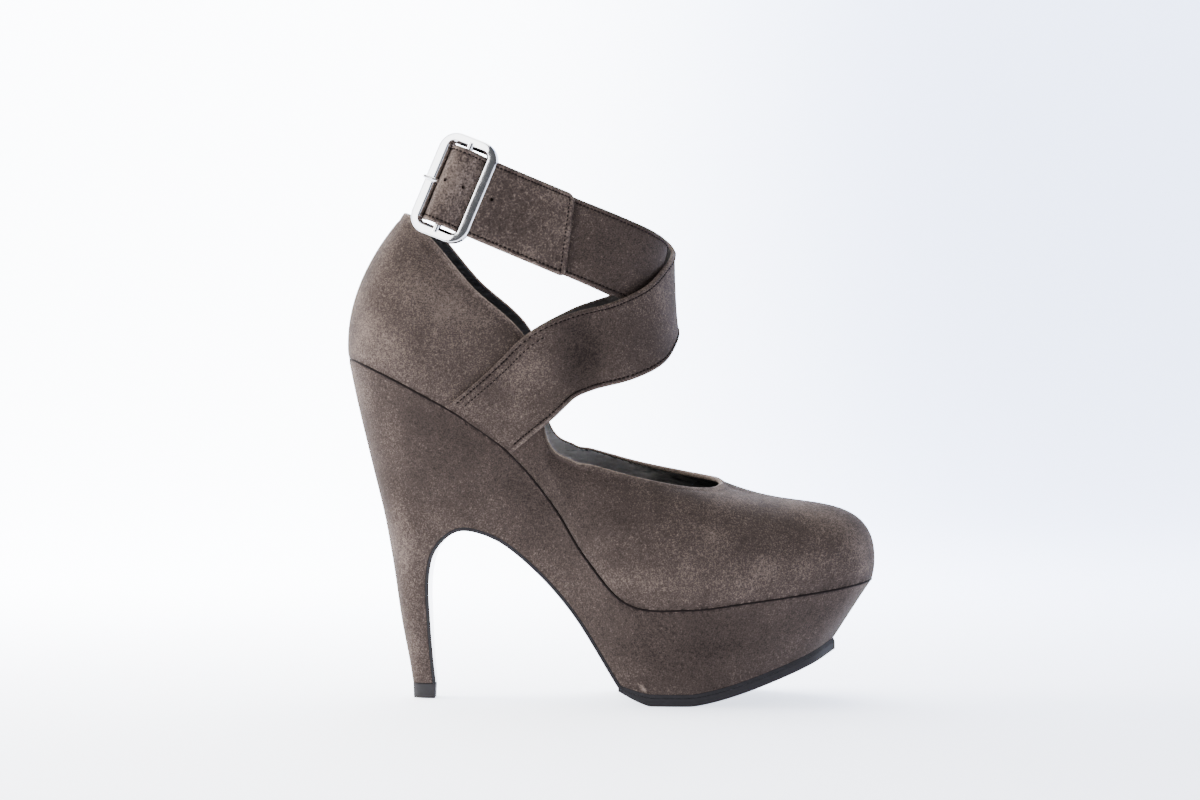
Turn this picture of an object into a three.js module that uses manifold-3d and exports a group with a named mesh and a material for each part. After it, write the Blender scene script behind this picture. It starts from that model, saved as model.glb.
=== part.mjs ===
// Platform pump with crossing ankle straps, right shoe.
// Millimetres. +X points to the toe, +Y to the inner side of the foot, +Z up.
// The origin is the centre of the heel tip, on the floor.
import * as THREE from 'three';
import { mergeVertices } from 'three/addons/utils/BufferGeometryUtils.js';
import Module from 'manifold-3d';

const wasm = await Module();
wasm.setup();

// Shoe sizes
const shoeLength = 221;
const heelReach = 32.9;
const ballWidth = 80;
const seatHeight = 141;
const platformHeight = 39.5;
const toeSpring = 10;
const upperHeight = 60.2;
const medialLift = 5.5;
const toeDrift = 2.5;
const upperWall = 1.8;
const insoleThickness = 2.5;

// Heel and sole sizes
const archHeight = 71.6;
const breastReach = 16.2;
const heelTipHeight = 6;
const leatherSoleThickness = 1;
const outsoleThickness = 3.4;
const treadToeLift = 19.6;
const treadRearLift = 5.2;
const platformRearLift = 3.2;
const seamInset = 0.5;
const coverWidth = 0.985;

// Strap sizes
const strapThickness = 2;
const lateralStrapWidth = 32.5;
const medialStrapWidth = 31;
const loopLength = 111;
const loopWidth = 62;
const loopTilt = THREE.MathUtils.degToRad(22.7);
const loopAhead = 61.7;
const loopDrop = 8.2;
const strapLayerGap = 4;
const tailSlant = 9;

// Buckle sizes
const buckleLength = 26;
const buckleWidth = 43.5;
const buckleBar = 5;
const buckleSideBar = 4.6;
const buckleInnerCorner = 1.2;
const buckleThickness = 3;
const buckleCorner = 8;
const buckleTurn = THREE.MathUtils.degToRad(20);
const centreBarRadius = 1.4;
const prongRadius = 1;
const prongHoleRadius = 2.4;

// Clearance between pieces that touch
const gap = 0.3;
const seamGap = 0.5;

// The feather edge, where upper and sole unit meet, from the back centre to the toe.
// along: share of shoeLength. lateral, medial: half widths, shares of ballWidth.
// height: share of the climb from platform to seat. spring: share of toeSpring.
const featherRows = [
  { along: 0.004, lateral: 0.000, medial: 0.000, height: 1.000, spring: 0.00 },
  { along: 0.045, lateral: 0.206, medial: 0.206, height: 0.968, spring: 0.00 },
  { along: 0.131, lateral: 0.313, medial: 0.313, height: 0.874, spring: 0.00 },
  { along: 0.226, lateral: 0.335, medial: 0.325, height: 0.757, spring: 0.00 },
  { along: 0.316, lateral: 0.313, medial: 0.294, height: 0.608, spring: 0.00 },
  { along: 0.391, lateral: 0.310, medial: 0.275, height: 0.411, spring: 0.00 },
  { along: 0.452, lateral: 0.363, medial: 0.313, height: 0.200, spring: 0.00 },
  { along: 0.529, lateral: 0.450, medial: 0.388, height: 0.021, spring: 0.00 },
  { along: 0.638, lateral: 0.500, medial: 0.475, height: 0.000, spring: 0.02 },
  { along: 0.755, lateral: 0.456, medial: 0.469, height: 0.000, spring: 0.30 },
  { along: 0.873, lateral: 0.345, medial: 0.385, height: 0.000, spring: 0.61 },
  { along: 0.954, lateral: 0.205, medial: 0.245, height: 0.000, spring: 0.87 },
  { along: 0.993, lateral: 0.000, medial: 0.000, height: 0.000, spring: 1.00 },
];
const toeRow = featherRows.length - 1;

// The topline, one row above each feather row.
// along: share of shoeLength. side: half width, share of ballWidth.
// rise: height above the feather, share of upperHeight. lift: share of medialLift.
const toplineRows = [
  { along: 0.109, side: 0.000, rise: 1.000, lift: 0.00 },
  { along: 0.126, side: 0.119, rise: 1.005, lift: 0.30 },
  { along: 0.174, side: 0.225, rise: 0.980, lift: 1.00 },
  { along: 0.244, side: 0.300, rise: 0.875, lift: 1.00 },
  { along: 0.349, side: 0.335, rise: 0.736, lift: 1.00 },
  { along: 0.381, side: 0.341, rise: 0.442, lift: 1.00 },
  { along: 0.429, side: 0.360, rise: 0.646, lift: 1.00 },
  { along: 0.466, side: 0.369, rise: 0.917, lift: 1.00 },
  { along: 0.552, side: 0.350, rise: 0.865, lift: 1.00 },
  { along: 0.629, side: 0.275, rise: 0.763, lift: 1.00 },
  { along: 0.683, side: 0.163, rise: 0.695, lift: 0.80 },
  { along: 0.703, side: 0.069, rise: 0.668, lift: 0.45 },
  { along: 0.708, side: 0.000, rise: 0.657, lift: 0.00 },
];

// How the wall bulges between feather and topline. All are shares of upperHeight.
// flare, climb: handle at the feather, outward and upward.
// ahead, wide, drop: handle at the topline, towards the toe, outward and downward.
const wallRows = [
  { flare: 0.037, climb: 0.363, ahead: -0.253, wide: 0.000, drop: 0.287 },
  { flare: 0.050, climb: 0.367, ahead: -0.200, wide: 0.100, drop: 0.300 },
  { flare: 0.058, climb: 0.333, ahead: -0.083, wide: 0.117, drop: 0.300 },
  { flare: 0.050, climb: 0.283, ahead: -0.033, wide: 0.067, drop: 0.267 },
  { flare: 0.042, climb: 0.250, ahead: -0.017, wide: 0.042, drop: 0.250 },
  { flare: 0.042, climb: 0.233, ahead: -0.020, wide: 0.025, drop: 0.217 },
  { flare: 0.042, climb: 0.217, ahead: 0.030, wide: 0.033, drop: 0.200 },
  { flare: 0.042, climb: 0.300, ahead: 0.083, wide: 0.083, drop: 0.283 },
  { flare: 0.050, climb: 0.317, ahead: 0.117, wide: 0.158, drop: 0.233 },
  { flare: 0.050, climb: 0.333, ahead: 0.217, wide: 0.200, drop: 0.133 },
  { flare: 0.083, climb: 0.450, ahead: 0.367, wide: 0.150, drop: 0.150 },
  { flare: 0.117, climb: 0.633, ahead: 0.383, wide: 0.050, drop: 0.208 },
  { flare: 0.125, climb: 0.725, ahead: 0.375, wide: 0.000, drop: 0.228 },
];

// The back line of the heel, from the seat down to the heel tip.
// back: share of heelReach behind the origin. height: share of seatHeight.
const heelBackRows = [
  { back: 0.973, height: 1.000 },
  { back: 0.854, height: 0.867 },
  { back: 0.678, height: 0.695 },
  { back: 0.587, height: 0.610 },
  { back: 0.502, height: 0.525 },
  { back: 0.404, height: 0.397 },
  { back: 0.301, height: 0.234 },
  { back: 0.200, height: 0.110 },
  { back: 0.155, height: 0.0447 },
];

// The breast, from the heel tip up to the top of the arch.
// ahead: share of breastReach. height: share of archHeight. half: share of ballWidth.
const breastRows = [
  { ahead: 0.198, height: 0.088, half: 0.0625 },
  { ahead: 0.142, height: 0.210, half: 0.079 },
  { ahead: 0.074, height: 0.433, half: 0.119 },
  { ahead: 0.049, height: 0.698, half: 0.163 },
  { ahead: 0.210, height: 0.859, half: 0.206 },
  { ahead: 0.586, height: 0.961, half: 0.228 },
  { ahead: 1.000, height: 1.000, half: 0.244 },
];

// The underside of the arch, from its top down to the rear edge of the platform.
// along: share of the way to that edge. height: share of archHeight.
// tuck: share of the feather's half width above.
const archRows = [
  { along: 0.212, height: 0.948, tuck: 0.71 },
  { along: 0.458, height: 0.779, tuck: 0.72 },
  { along: 0.705, height: 0.532, tuck: 0.74 },
];

// The underside of the platform, from its rear edge to the toe.
// along: share of shoeLength. tuck: share of the feather's half width above.
const platformRows = [
  { along: 0.516, tuck: 0.83 },
  { along: 0.606, tuck: 0.84 },
  { along: 0.696, tuck: 0.88 },
  { along: 0.787, tuck: 0.90 },
  { along: 0.868, tuck: 0.90 },
  { along: 0.919, tuck: 0.90 },
];

// The flat of the tread, shares of shoeLength from the back of the counter.
const flatRear = 0.570;
const flatFront = 0.642;

// Feather rows at the breast and at the rear edge of the platform.
const breastRow = 3;
const platformRow = breastRow + archRows.length + 1;
const archLevel = 2;
const tipLevel = heelBackRows.length - 1;

// Fineness of the meshes
const stepsPerRow = 4;
const wallSteps = 10;

// Smooth value of one column at a place between rows, through every row.
function splineValue(valueAt, rowCount, place) {
  const row = Math.min(Math.floor(place), rowCount - 2);
  const t = place - row;
  const p1 = valueAt(row);
  const p2 = valueAt(row + 1);
  const p0 = row > 0 ? valueAt(row - 1) : 2 * p1 - p2;
  const p3 = row + 2 < rowCount ? valueAt(row + 2) : 2 * p2 - p1;
  return blendCubic(p0, p1, p2, p3, t);
}

function blendCubic(p0, p1, p2, p3, t) {
  const slopeIn = (p2 - p0) / 2;
  const slopeOut = (p3 - p1) / 2;
  const t2 = t * t;
  const t3 = t2 * t;
  return (2 * t3 - 3 * t2 + 1) * p1 + (t3 - 2 * t2 + t) * slopeIn
    + (3 * t2 - 2 * t3) * p2 + (t3 - t2) * slopeOut;
}

function fromRows(rows, column, place) {
  return splineValue((row) => rows[row][column], rows.length, place);
}

function lerp(a, b, t) {
  return a + (b - a) * t;
}

function smoothStep(t) {
  const s = Math.min(Math.max(t, 0), 1);
  return s * s * (3 - 2 * s);
}

// Rows run to the toe on the lateral side and back on the medial side, as one ring.
const ringRows = 2 * toeRow;

function ringRow(place) {
  const index = ((place % ringRows) + ringRows) % ringRows;
  const medial = index > toeRow;
  return { row: medial ? ringRows - index : index, side: medial ? 1 : -1 };
}

// Smooth value round the ring of a quantity worked out for each row and side.
function ringValue(valueAt, place) {
  const base = Math.floor(place);
  const samples = [-1, 0, 1, 2].map((step) => {
    const { row, side } = ringRow(base + step);
    return valueAt(row, side);
  });
  return blendCubic(...samples, place - base);
}

function centreLine(row) {
  return toeDrift * smoothStep((row - platformRow) / (toeRow - platformRow));
}

function xAlong(share) {
  return share * shoeLength - heelReach;
}

function featherX(row) {
  return xAlong(featherRows[row].along);
}

function featherZ(row) {
  const { height, spring } = featherRows[row];
  return platformHeight + (seatHeight - platformHeight) * height + toeSpring * spring;
}

function featherY(row, side) {
  const half = side < 0 ? featherRows[row].lateral : featherRows[row].medial;
  const drift = row === toeRow ? toeDrift : 0;
  return side * half * ballWidth + drift;
}

function featherPoint(place) {
  return new THREE.Vector3(
    ringValue(featherX, place),
    ringValue(featherY, place),
    ringValue(featherZ, place),
  );
}

// Level outward direction of the feather line, seen from above.
function featherOutward(place) {
  const step = 0.01;
  const before = featherPoint(place - step);
  const after = featherPoint(place + step);
  const along = after.sub(before);
  return new THREE.Vector3(along.y, -along.x, 0).normalize();
}

function toplinePoint(place) {
  return new THREE.Vector3(
    ringValue((row) => xAlong(toplineRows[row].along), place),
    ringValue((row, side) => side * toplineRows[row].side * ballWidth, place),
    ringValue((row, side) => featherZ(row) + toplineRows[row].rise * upperHeight
      + (side > 0 ? toplineRows[row].lift * medialLift : 0), place),
  );
}

// Outer face of the upper. place runs round the ring, rise from feather (0) to topline (1).
// Each wall line is a cubic curve from the feather to the topline.
function upperOuter(place, rise) {
  const foot = featherPoint(place);
  const top = toplinePoint(place);
  const column = (name) => upperHeight * ringValue((row) => wallRows[row][name], place);
  const wide = upperHeight * ringValue((row, side) => side * wallRows[row].wide, place);
  const footHandle = featherOutward(place).multiplyScalar(column('flare')).add(foot);
  footHandle.z += column('climb');
  const topHandle = top.clone().add(new THREE.Vector3(column('ahead'), wide, -column('drop')));
  return new THREE.CubicBezierCurve3(foot, footHandle, topHandle, top).getPoint(rise);
}

function upperNormal(place, rise) {
  const step = 0.01;
  const low = Math.max(rise - step, 0);
  const high = Math.min(rise + step, 1);
  const across = upperOuter(place + step, rise).sub(upperOuter(place - step, rise));
  const up = upperOuter(place, high).sub(upperOuter(place, low));
  return across.cross(up).normalize();
}

function upperInner(place, rise) {
  const point = upperOuter(place, rise).addScaledVector(upperNormal(place, rise), -upperWall);
  if (rise === 0) {
    point.z = footbedHeight(point.x);
  }
  return point;
}

// Feather row at a distance along the shoe.
function rowAtX(x) {
  let low = 0;
  let high = toeRow;
  for (let pass = 0; pass < 40; pass += 1) {
    const middle = (low + high) / 2;
    if (fromRows(featherRows, 'along', middle) * shoeLength - heelReach < x) {
      low = middle;
    } else {
      high = middle;
    }
  }
  return low;
}

// Height of the foot's bed at a distance along the shoe, level from side to side.
function footbedHeight(x) {
  return featherPoint(rowAtX(x)).z;
}

function footbedNormal(x) {
  const step = 0.5;
  const slope = (footbedHeight(x + step) - footbedHeight(x - step)) / (2 * step);
  return new THREE.Vector3(-slope, 0, 1).normalize();
}

// Side points of the sole unit and of what follows its outline.
function sidePlace(row, side) {
  return side < 0 ? row : ringRows - row;
}

function seamPoint(row, side, inset, drop) {
  const place = sidePlace(row, side);
  const point = featherPoint(place).addScaledVector(featherOutward(place), -inset);
  const x = Math.min(point.x, featherX(toeRow));
  point.z = footbedHeight(x);
  return point.addScaledVector(footbedNormal(x), -drop);
}

// Height of the tread above the floor: flat under the ball, rising to the toe and the rear.
function treadHeight(x, rearLift, toeLift) {
  const rear = xAlong(flatRear);
  const front = xAlong(flatFront);
  const rearEnd = xAlong(platformRows[0].along);
  const frontEnd = xAlong(platformRows.at(-1).along);
  if (x < rear) {
    return rearLift * ((rear - x) / (rear - rearEnd)) ** 1.3;
  }
  if (x > front) {
    return toeLift * ((x - front) / (frontEnd - front)) ** 1.35;
  }
  return 0;
}

const soleStack = outsoleThickness + leatherSoleThickness + 2 * gap;

function platformBottom(step) {
  const x = xAlong(fromRows(platformRows, 'along', step));
  return { x, z: soleStack + treadHeight(x, platformRearLift, treadToeLift) };
}

// Line of the underside in side view. It runs up the breast from the heel tip (0),
// over the arch to the rear edge of the platform, and along to the toe.
const breastTop = breastRows.length - 1;
const rearEdge = breastTop + archRows.length + 1;
const undersideEnd = rearEdge + platformRows.length - 1;

function undersideRow(index) {
  const rear = platformBottom(0);
  if (index <= breastTop) {
    const { ahead, height } = breastRows[index];
    return { x: ahead * breastReach, z: height * archHeight };
  }
  if (index < rearEdge) {
    const { along, height } = archRows[index - breastTop - 1];
    return { x: lerp(breastReach, rear.x, along), z: height * archHeight };
  }
  return rear;
}

const archLine = new THREE.CatmullRomCurve3(
  steps(0, rearEdge, rearEdge).map((index) => {
    const { x, z } = undersideRow(Math.round(index));
    return new THREE.Vector3(x, 0, z);
  }),
  false,
  'centripetal',
);

function undersideLine(place) {
  return place > rearEdge
    ? platformBottom(place - rearEdge)
    : archLine.getPoint(place / rearEdge);
}

function featherRowUnder(place) {
  return place - breastTop + breastRow;
}

// Half width of the underside, signed to its side.
function undersideY(place, side) {
  if (place <= breastTop) {
    return side * fromRows(breastRows, 'half', place) * ballWidth;
  }
  const row = featherRowUnder(place);
  const tucks = [breastRows.at(-1).half / featherRows[breastRow].lateral]
    .concat(archRows.map((arch) => arch.tuck), platformRows.map((platform) => platform.tuck));
  const tuck = splineValue((index) => tucks[index], tucks.length, place - breastTop);
  const centre = centreLine(row);
  return centre + (featherPoint(sidePlace(row, side)).y - centre) * tuck;
}

// Unit normal of the underside line, away from the sole unit.
function undersideNormal(place) {
  const step = 0.02;
  const slopeAt = (from, to) => {
    const a = undersideLine(from);
    const b = undersideLine(to);
    return new THREE.Vector2(b.z - a.z, a.x - b.x).normalize();
  };
  if (Math.abs(place - rearEdge) < step) {
    const before = slopeAt(rearEdge - step, rearEdge);
    const after = slopeAt(rearEdge + step, rearEdge + 2 * step);
    const miter = before.clone().add(after).normalize();
    return miter.multiplyScalar(1 / miter.dot(after));
  }
  const low = Math.max(place - step, 0);
  const high = Math.min(place + step, undersideEnd);
  return slopeAt(low, high);
}

function undersidePoint(place, side, drop, widthShare) {
  const line = undersideLine(place);
  const normal = undersideNormal(place);
  const centre = centreLine(featherRowUnder(place));
  const y = centre + (undersideY(place, side) - centre) * widthShare;
  return new THREE.Vector3(line.x + normal.x * drop, y, line.z + normal.y * drop);
}

// Side of the sole unit. row runs from the back to the toe, level from the seam downwards:
// 0 at the seam, archLevel at the arch and the platform's lower edge, tipLevel at the tip.
function unitSide(row, level, side) {
  if (row <= breastRow) {
    return heelSide(row, level, side);
  }
  const top = seamPoint(row, side, seamInset, seamGap);
  const place = row - breastRow + breastTop;
  const foot = undersidePoint(place, side, 0, 1);
  return top.lerp(foot, level / archLevel);
}

function heelSide(row, level, side) {
  const seam = seamPoint(row, side, seamInset, seamGap);
  const seamBack = seamPoint(0, side, seamInset, seamGap);
  const seamFront = seamPoint(breastRow, side, seamInset, seamGap);
  const forward = (seam.x - seamBack.x) / (seamFront.x - seamBack.x);
  const round = seam.y / seamFront.y;
  const back = level === 0 ? seamBack : new THREE.Vector3(
    -fromRows(heelBackRows, 'back', level) * heelReach,
    0,
    fromRows(heelBackRows, 'height', level) * seatHeight,
  );
  const front = level <= archLevel
    ? seamFront.clone().lerp(undersidePoint(breastTop, side, 0, 1), level / archLevel)
    : undersidePoint(tipLevel - level, side, 0, 1);
  const straight = back.clone().lerp(front, forward);
  const bend = seam.z - lerp(seamBack.z, seamFront.z, forward);
  straight.z += bend * (1 - level / tipLevel) ** 4;
  straight.y = front.y * round;
  return straight;
}

// Closed mesh from a list of triangles given as points. Shared corners are merged,
// flat-out triangles dropped, and the faces turned outward.
function closedGeometry(triangles) {
  const points = triangles.flat();
  const raw = new THREE.BufferGeometry().setFromPoints(points);
  const merged = mergeVertices(raw, 1e-3);
  const index = merged.getIndex().array;
  const position = merged.getAttribute('position');
  const kept = [];
  for (let i = 0; i < index.length; i += 3) {
    const [a, b, c] = index.slice(i, i + 3);
    if (a !== b && b !== c && c !== a) {
      kept.push(a, b, c);
    }
  }
  if (signedVolume(position, kept) < 0) {
    kept.reverse();
  }
  merged.setIndex(kept);
  merged.computeVertexNormals();
  return merged;
}

function signedVolume(position, index) {
  const corner = (i) => new THREE.Vector3().fromBufferAttribute(position, index[i]);
  let volume = 0;
  for (let i = 0; i < index.length; i += 3) {
    volume += corner(i).dot(corner(i + 1).cross(corner(i + 2)));
  }
  return volume;
}

function quad(a, b, c, d) {
  return [[a, b, c], [a, c, d]];
}

// Two triangles for each cell of a grid of points.
function gridTriangles(grid) {
  const triangles = [];
  for (let i = 0; i + 1 < grid.length; i += 1) {
    for (let j = 0; j + 1 < grid[i].length; j += 1) {
      triangles.push(...quad(grid[i][j], grid[i + 1][j], grid[i + 1][j + 1], grid[i][j + 1]));
    }
  }
  return triangles;
}

function steps(from, to, count) {
  return Array.from({ length: count + 1 }, (_, i) => lerp(from, to, i / count));
}

// Strip between two lines of points.
function ribbon(left, right) {
  return gridTriangles([left, right]);
}

// A plate between an upper and a lower face, each given by a lateral and a medial line.
function plateGeometry(topLateral, topMedial, lowLateral, lowMedial) {
  return closedGeometry([
    ...ribbon(topLateral, topMedial),
    ...ribbon(lowMedial, lowLateral),
    ...ribbon(lowLateral, topLateral),
    ...ribbon(topMedial, lowMedial),
    ...quad(topMedial[0], topLateral[0], lowLateral[0], lowMedial[0]),
    ...quad(topLateral.at(-1), topMedial.at(-1), lowMedial.at(-1), lowLateral.at(-1)),
  ]);
}

function makeUpper() {
  const places = steps(0, ringRows, ringRows * stepsPerRow);
  const rises = steps(0, 1, wallSteps);
  const outer = places.map((place) => rises.map((rise) => upperOuter(place % ringRows, rise)));
  const inner = places.map((place) => rises.map((rise) => upperInner(place % ringRows, rise)));
  const foot = places.map((_, i) => [inner[i][0], outer[i][0]]);
  const rim = places.map((_, i) => [outer[i].at(-1), inner[i].at(-1)]);
  const innerTurned = inner.map((line) => [...line].reverse());
  return closedGeometry([
    ...gridTriangles(outer),
    ...gridTriangles(rim),
    ...gridTriangles(innerTurned),
    ...gridTriangles(foot),
  ]);
}

function makeInsole() {
  const inset = upperWall + gap;
  const rows = steps(0, toeRow, toeRow * stepsPerRow);
  const edge = (side, lift) => rows.map((row) => seamPoint(row, side, inset, -lift));
  return plateGeometry(
    edge(-1, insoleThickness),
    edge(1, insoleThickness),
    edge(-1, 0),
    edge(1, 0),
  );
}

function makeUnit() {
  const heelRows = steps(0, breastRow, breastRow * stepsPerRow);
  const frontRows = steps(breastRow, toeRow, (toeRow - breastRow) * stepsPerRow);
  const upperLevels = steps(0, archLevel, 4);
  const heelLevels = upperLevels.concat(steps(archLevel, tipLevel, 18).slice(1));
  const side = (rows, levels, hand) => rows.map((row) => levels.map((l) => unitSide(row, l, hand)));
  const heelLateral = side(heelRows, heelLevels, -1);
  const heelMedial = side(heelRows, heelLevels, 1);
  const frontLateral = side(frontRows, upperLevels, -1);
  const frontMedial = side(frontRows, upperLevels, 1);
  const line = (grid, pick) => grid.map((column) => column.at(pick));
  const breast = (grid) => grid.at(-1).slice(upperLevels.length - 1);
  const mirrored = (grid) => [...grid].reverse();
  return closedGeometry([
    ...gridTriangles(heelLateral),
    ...gridTriangles(frontLateral),
    ...gridTriangles(mirrored(heelMedial)),
    ...gridTriangles(mirrored(frontMedial)),
    ...ribbon(line(heelLateral, 0), line(heelMedial, 0)),
    ...ribbon(line(frontLateral, 0), line(frontMedial, 0)),
    ...ribbon(line(frontMedial, -1), line(frontLateral, -1)),
    ...ribbon(line(heelMedial, -1), line(heelLateral, -1)),
    ...ribbon(breast(heelLateral), breast(heelMedial)),
  ]);
}

function makeLeatherSole() {
  const places = steps(0, rearEdge, 40).concat(steps(rearEdge, undersideEnd, 20).slice(1));
  const near = gap;
  const far = gap + leatherSoleThickness;
  const edge = (side, drop) => places.map((place) => undersidePoint(place, side, drop, coverWidth));
  return plateGeometry(edge(-1, near), edge(1, near), edge(-1, far), edge(1, far));
}

function makeOutsole() {
  const places = steps(rearEdge, undersideEnd, 30);
  const drop = 2 * gap + leatherSoleThickness;
  const top = (side) => places.map((place) => undersidePoint(place, side, drop, coverWidth));
  const low = (side) => top(side).map((point) => {
    const z = treadHeight(point.x, treadRearLift, treadToeLift);
    return new THREE.Vector3(point.x, point.y, Math.min(z, point.z - gap));
  });
  return plateGeometry(top(-1), top(1), low(-1), low(1));
}

function makeHeelTip() {
  const rows = steps(0, breastRow, 12);
  const coverReach = leatherSoleThickness + gap;
  const edge = (side, height, shrink) => rows.map((row) => {
    const point = unitSide(row, tipLevel, side);
    const forward = row / breastRow;
    const x = (point.x + coverReach * forward) * shrink;
    return new THREE.Vector3(x, point.y * shrink, height);
  });
  return plateGeometry(
    edge(-1, heelTipHeight, 1),
    edge(1, heelTipHeight, 1),
    edge(-1, 0, 0.95),
    edge(1, 0, 0.95),
  );
}

// Frame of the ankle loop: forward along the loop, sideways, and up along the leg.
const loopForward = new THREE.Vector3(Math.cos(loopTilt), 0, -Math.sin(loopTilt));
const loopUp = new THREE.Vector3(Math.sin(loopTilt), 0, Math.cos(loopTilt));
const backTop = toplinePoint(0);
const loopCentre = new THREE.Vector3(backTop.x + loopAhead, 0, backTop.z - loopDrop);

function fromLoop(forward, side, up) {
  return loopCentre.clone()
    .addScaledVector(loopForward, forward)
    .addScaledVector(loopUp, up)
    .setY(side);
}

function toLoop(point) {
  const offset = point.clone().sub(loopCentre);
  return { forward: offset.dot(loopForward), side: point.y, up: offset.dot(loopUp) };
}

// Places of the buckle, in the loop's frame.
const buckleForward = -0.768 * loopLength / 2;
const buckleSide = -0.985 * loopWidth / 2;

// Point beside the buckle: reach along the strap, lift out of the buckle's plane.
function atBuckle(reach, lift) {
  const forward = buckleForward + reach * Math.cos(buckleTurn) - lift * Math.sin(buckleTurn);
  const side = buckleSide - reach * Math.sin(buckleTurn) - lift * Math.cos(buckleTurn);
  return fromLoop(forward, side, 0);
}

// Both straps leave the seam here, as a feather row.
const strapFootRow = 3.34;

// Length of a strap that lies flat on the upper, and the length over which it comes
// free, as shares of its width.
const footHeld = 0.55;
const footRelease = 0.78;

// Where along the half loop the straps begin to stand upright, and how far they come.
const uprightFrom = 0.3;
const lateralUpright = 1.1;
const medialUpright = 0.55;

// The climb of a strap from the seam to the front of the loop.
// climb, ahead: shares of the way up and forward. side: share of loopWidth / 2.
const lateralClimbRows = [
  { ahead: 0.215, climb: 0.265, side: 0.955 },
  { ahead: 0.345, climb: 0.440, side: 0.965 },
  { ahead: 0.520, climb: 0.555, side: 0.930 },
  { ahead: 0.800, climb: 0.690, side: 0.840 },
  { ahead: 0.975, climb: 0.820, side: 0.600 },
];
const medialClimbRows = [
  { ahead: 0.175, climb: 0.285, side: 0.955 },
  { ahead: 0.320, climb: 0.465, side: 0.925 },
  { ahead: 0.530, climb: 0.605, side: 0.790 },
  { ahead: 0.790, climb: 0.735, side: 0.600 },
  { ahead: 0.950, climb: 0.845, side: 0.330 },
];

// The level part round the ankle. forward: share of loopLength / 2.
// side: share of loopWidth / 2, towards the side opposite to the strap's foot.
// up: share of the strap's width.
const lateralLoopRows = [
  { forward: 1.035, side: 0.000, up: -0.160 },
  { forward: 0.985, side: 0.430, up: -0.040 },
  { forward: 0.790, side: 0.800, up: 0.055 },
  { forward: 0.440, side: 0.975, up: 0.095 },
  { forward: 0.000, side: 1.000, up: 0.100 },
  { forward: -0.450, side: 0.985, up: 0.100 },
  { forward: -0.800, side: 0.840, up: 0.100 },
  { forward: -0.940, side: 0.500, up: 0.095 },
  { forward: -0.960, side: 0.000, up: 0.090 },
  { forward: -0.940, side: -0.430, up: 0.050 },
];
const medialLoopRows = [
  { forward: 1.000, side: 0.000, up: -0.150 },
  { forward: 0.960, side: 0.380, up: -0.020 },
  { forward: 0.800, side: 0.690, up: 0.010 },
  { forward: 0.500, side: 0.870, up: 0.010 },
  { forward: 0.100, side: 0.925, up: 0.000 },
  { forward: -0.270, side: 0.930, up: 0.000 },
];

// Tail of the lateral strap, on top of the medial one. The shares are as above.
const tailRows = [
  { forward: -0.380, side: 1.045 },
  { forward: 0.000, side: 1.030 },
  { forward: 0.155, side: 1.020 },
];

const layerPitch = strapThickness + 2 * gap;
const strapUnderBar = buckleThickness / 2 + gap + strapThickness / 2;
const barOuter = buckleLength / 2;
const barInner = buckleLength / 2 - buckleBar + gap;
const eyeRadius = centreBarRadius + gap + strapThickness / 2;

// Centre line of one strap, from the seam to the front of the loop.
function climbPoints(side, rows, frontForward, frontUp) {
  const place = sidePlace(strapFootRow, side);
  const foot = toLoop(upperOuter(place, 0));
  return [fromLoop(foot.forward, foot.side, foot.up)].concat(rows.map((row) => fromLoop(
    lerp(foot.forward, frontForward, row.ahead),
    side * row.side * loopWidth / 2,
    lerp(foot.up, frontUp, row.climb),
  )));
}

function lateralRoute() {
  const half = loopLength / 2 - strapThickness / 2;
  const width = loopWidth / 2 - strapThickness / 2;
  const rise = lateralLoopRows[0].up * lateralStrapWidth;
  const level = lateralLoopRows.map(({ forward, side, up }) => fromLoop(
    forward * half,
    side * width,
    up * lateralStrapWidth,
  ));
  const over = eyeRadius + layerPitch;
  const crown = [155, 120, 90, 60, 25].map(THREE.MathUtils.degToRad);
  const through = [
    atBuckle(-barOuter, -strapUnderBar - 2 * gap),
    atBuckle(-barInner, -strapUnderBar - gap / 2),
    ...crown.map((angle) => atBuckle(over * Math.cos(angle), over * Math.sin(angle))),
    atBuckle(barInner, -strapUnderBar),
    atBuckle(barOuter, -strapUnderBar),
  ];
  const tail = tailRows.map(({ forward, side }) => fromLoop(forward * half, -side * width, 0));
  return [...climbPoints(-1, lateralClimbRows, half, rise), ...level, ...through, ...tail];
}

function medialRoute() {
  const inset = strapThickness * 1.5 + strapLayerGap;
  const half = loopLength / 2 - inset;
  const width = loopWidth / 2 - strapThickness / 2;
  const rise = medialLoopRows[0].up * medialStrapWidth;
  const level = medialLoopRows.map(({ forward, side, up }) => fromLoop(
    forward * half,
    -side * width,
    up * medialStrapWidth,
  ));
  const eye = steps(0, 1.4, 7).map((turn) => atBuckle(
    -eyeRadius * Math.sin(turn * Math.PI),
    -eyeRadius * Math.cos(turn * Math.PI),
  ));
  const under = [
    atBuckle(barOuter, -strapUnderBar - layerPitch),
    atBuckle(barInner, -strapUnderBar - layerPitch),
    atBuckle(2 * eyeRadius, -eyeRadius - strapThickness / 2),
  ];
  return [...climbPoints(1, medialClimbRows, half, rise), ...level, ...under, ...eye];
}

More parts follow.
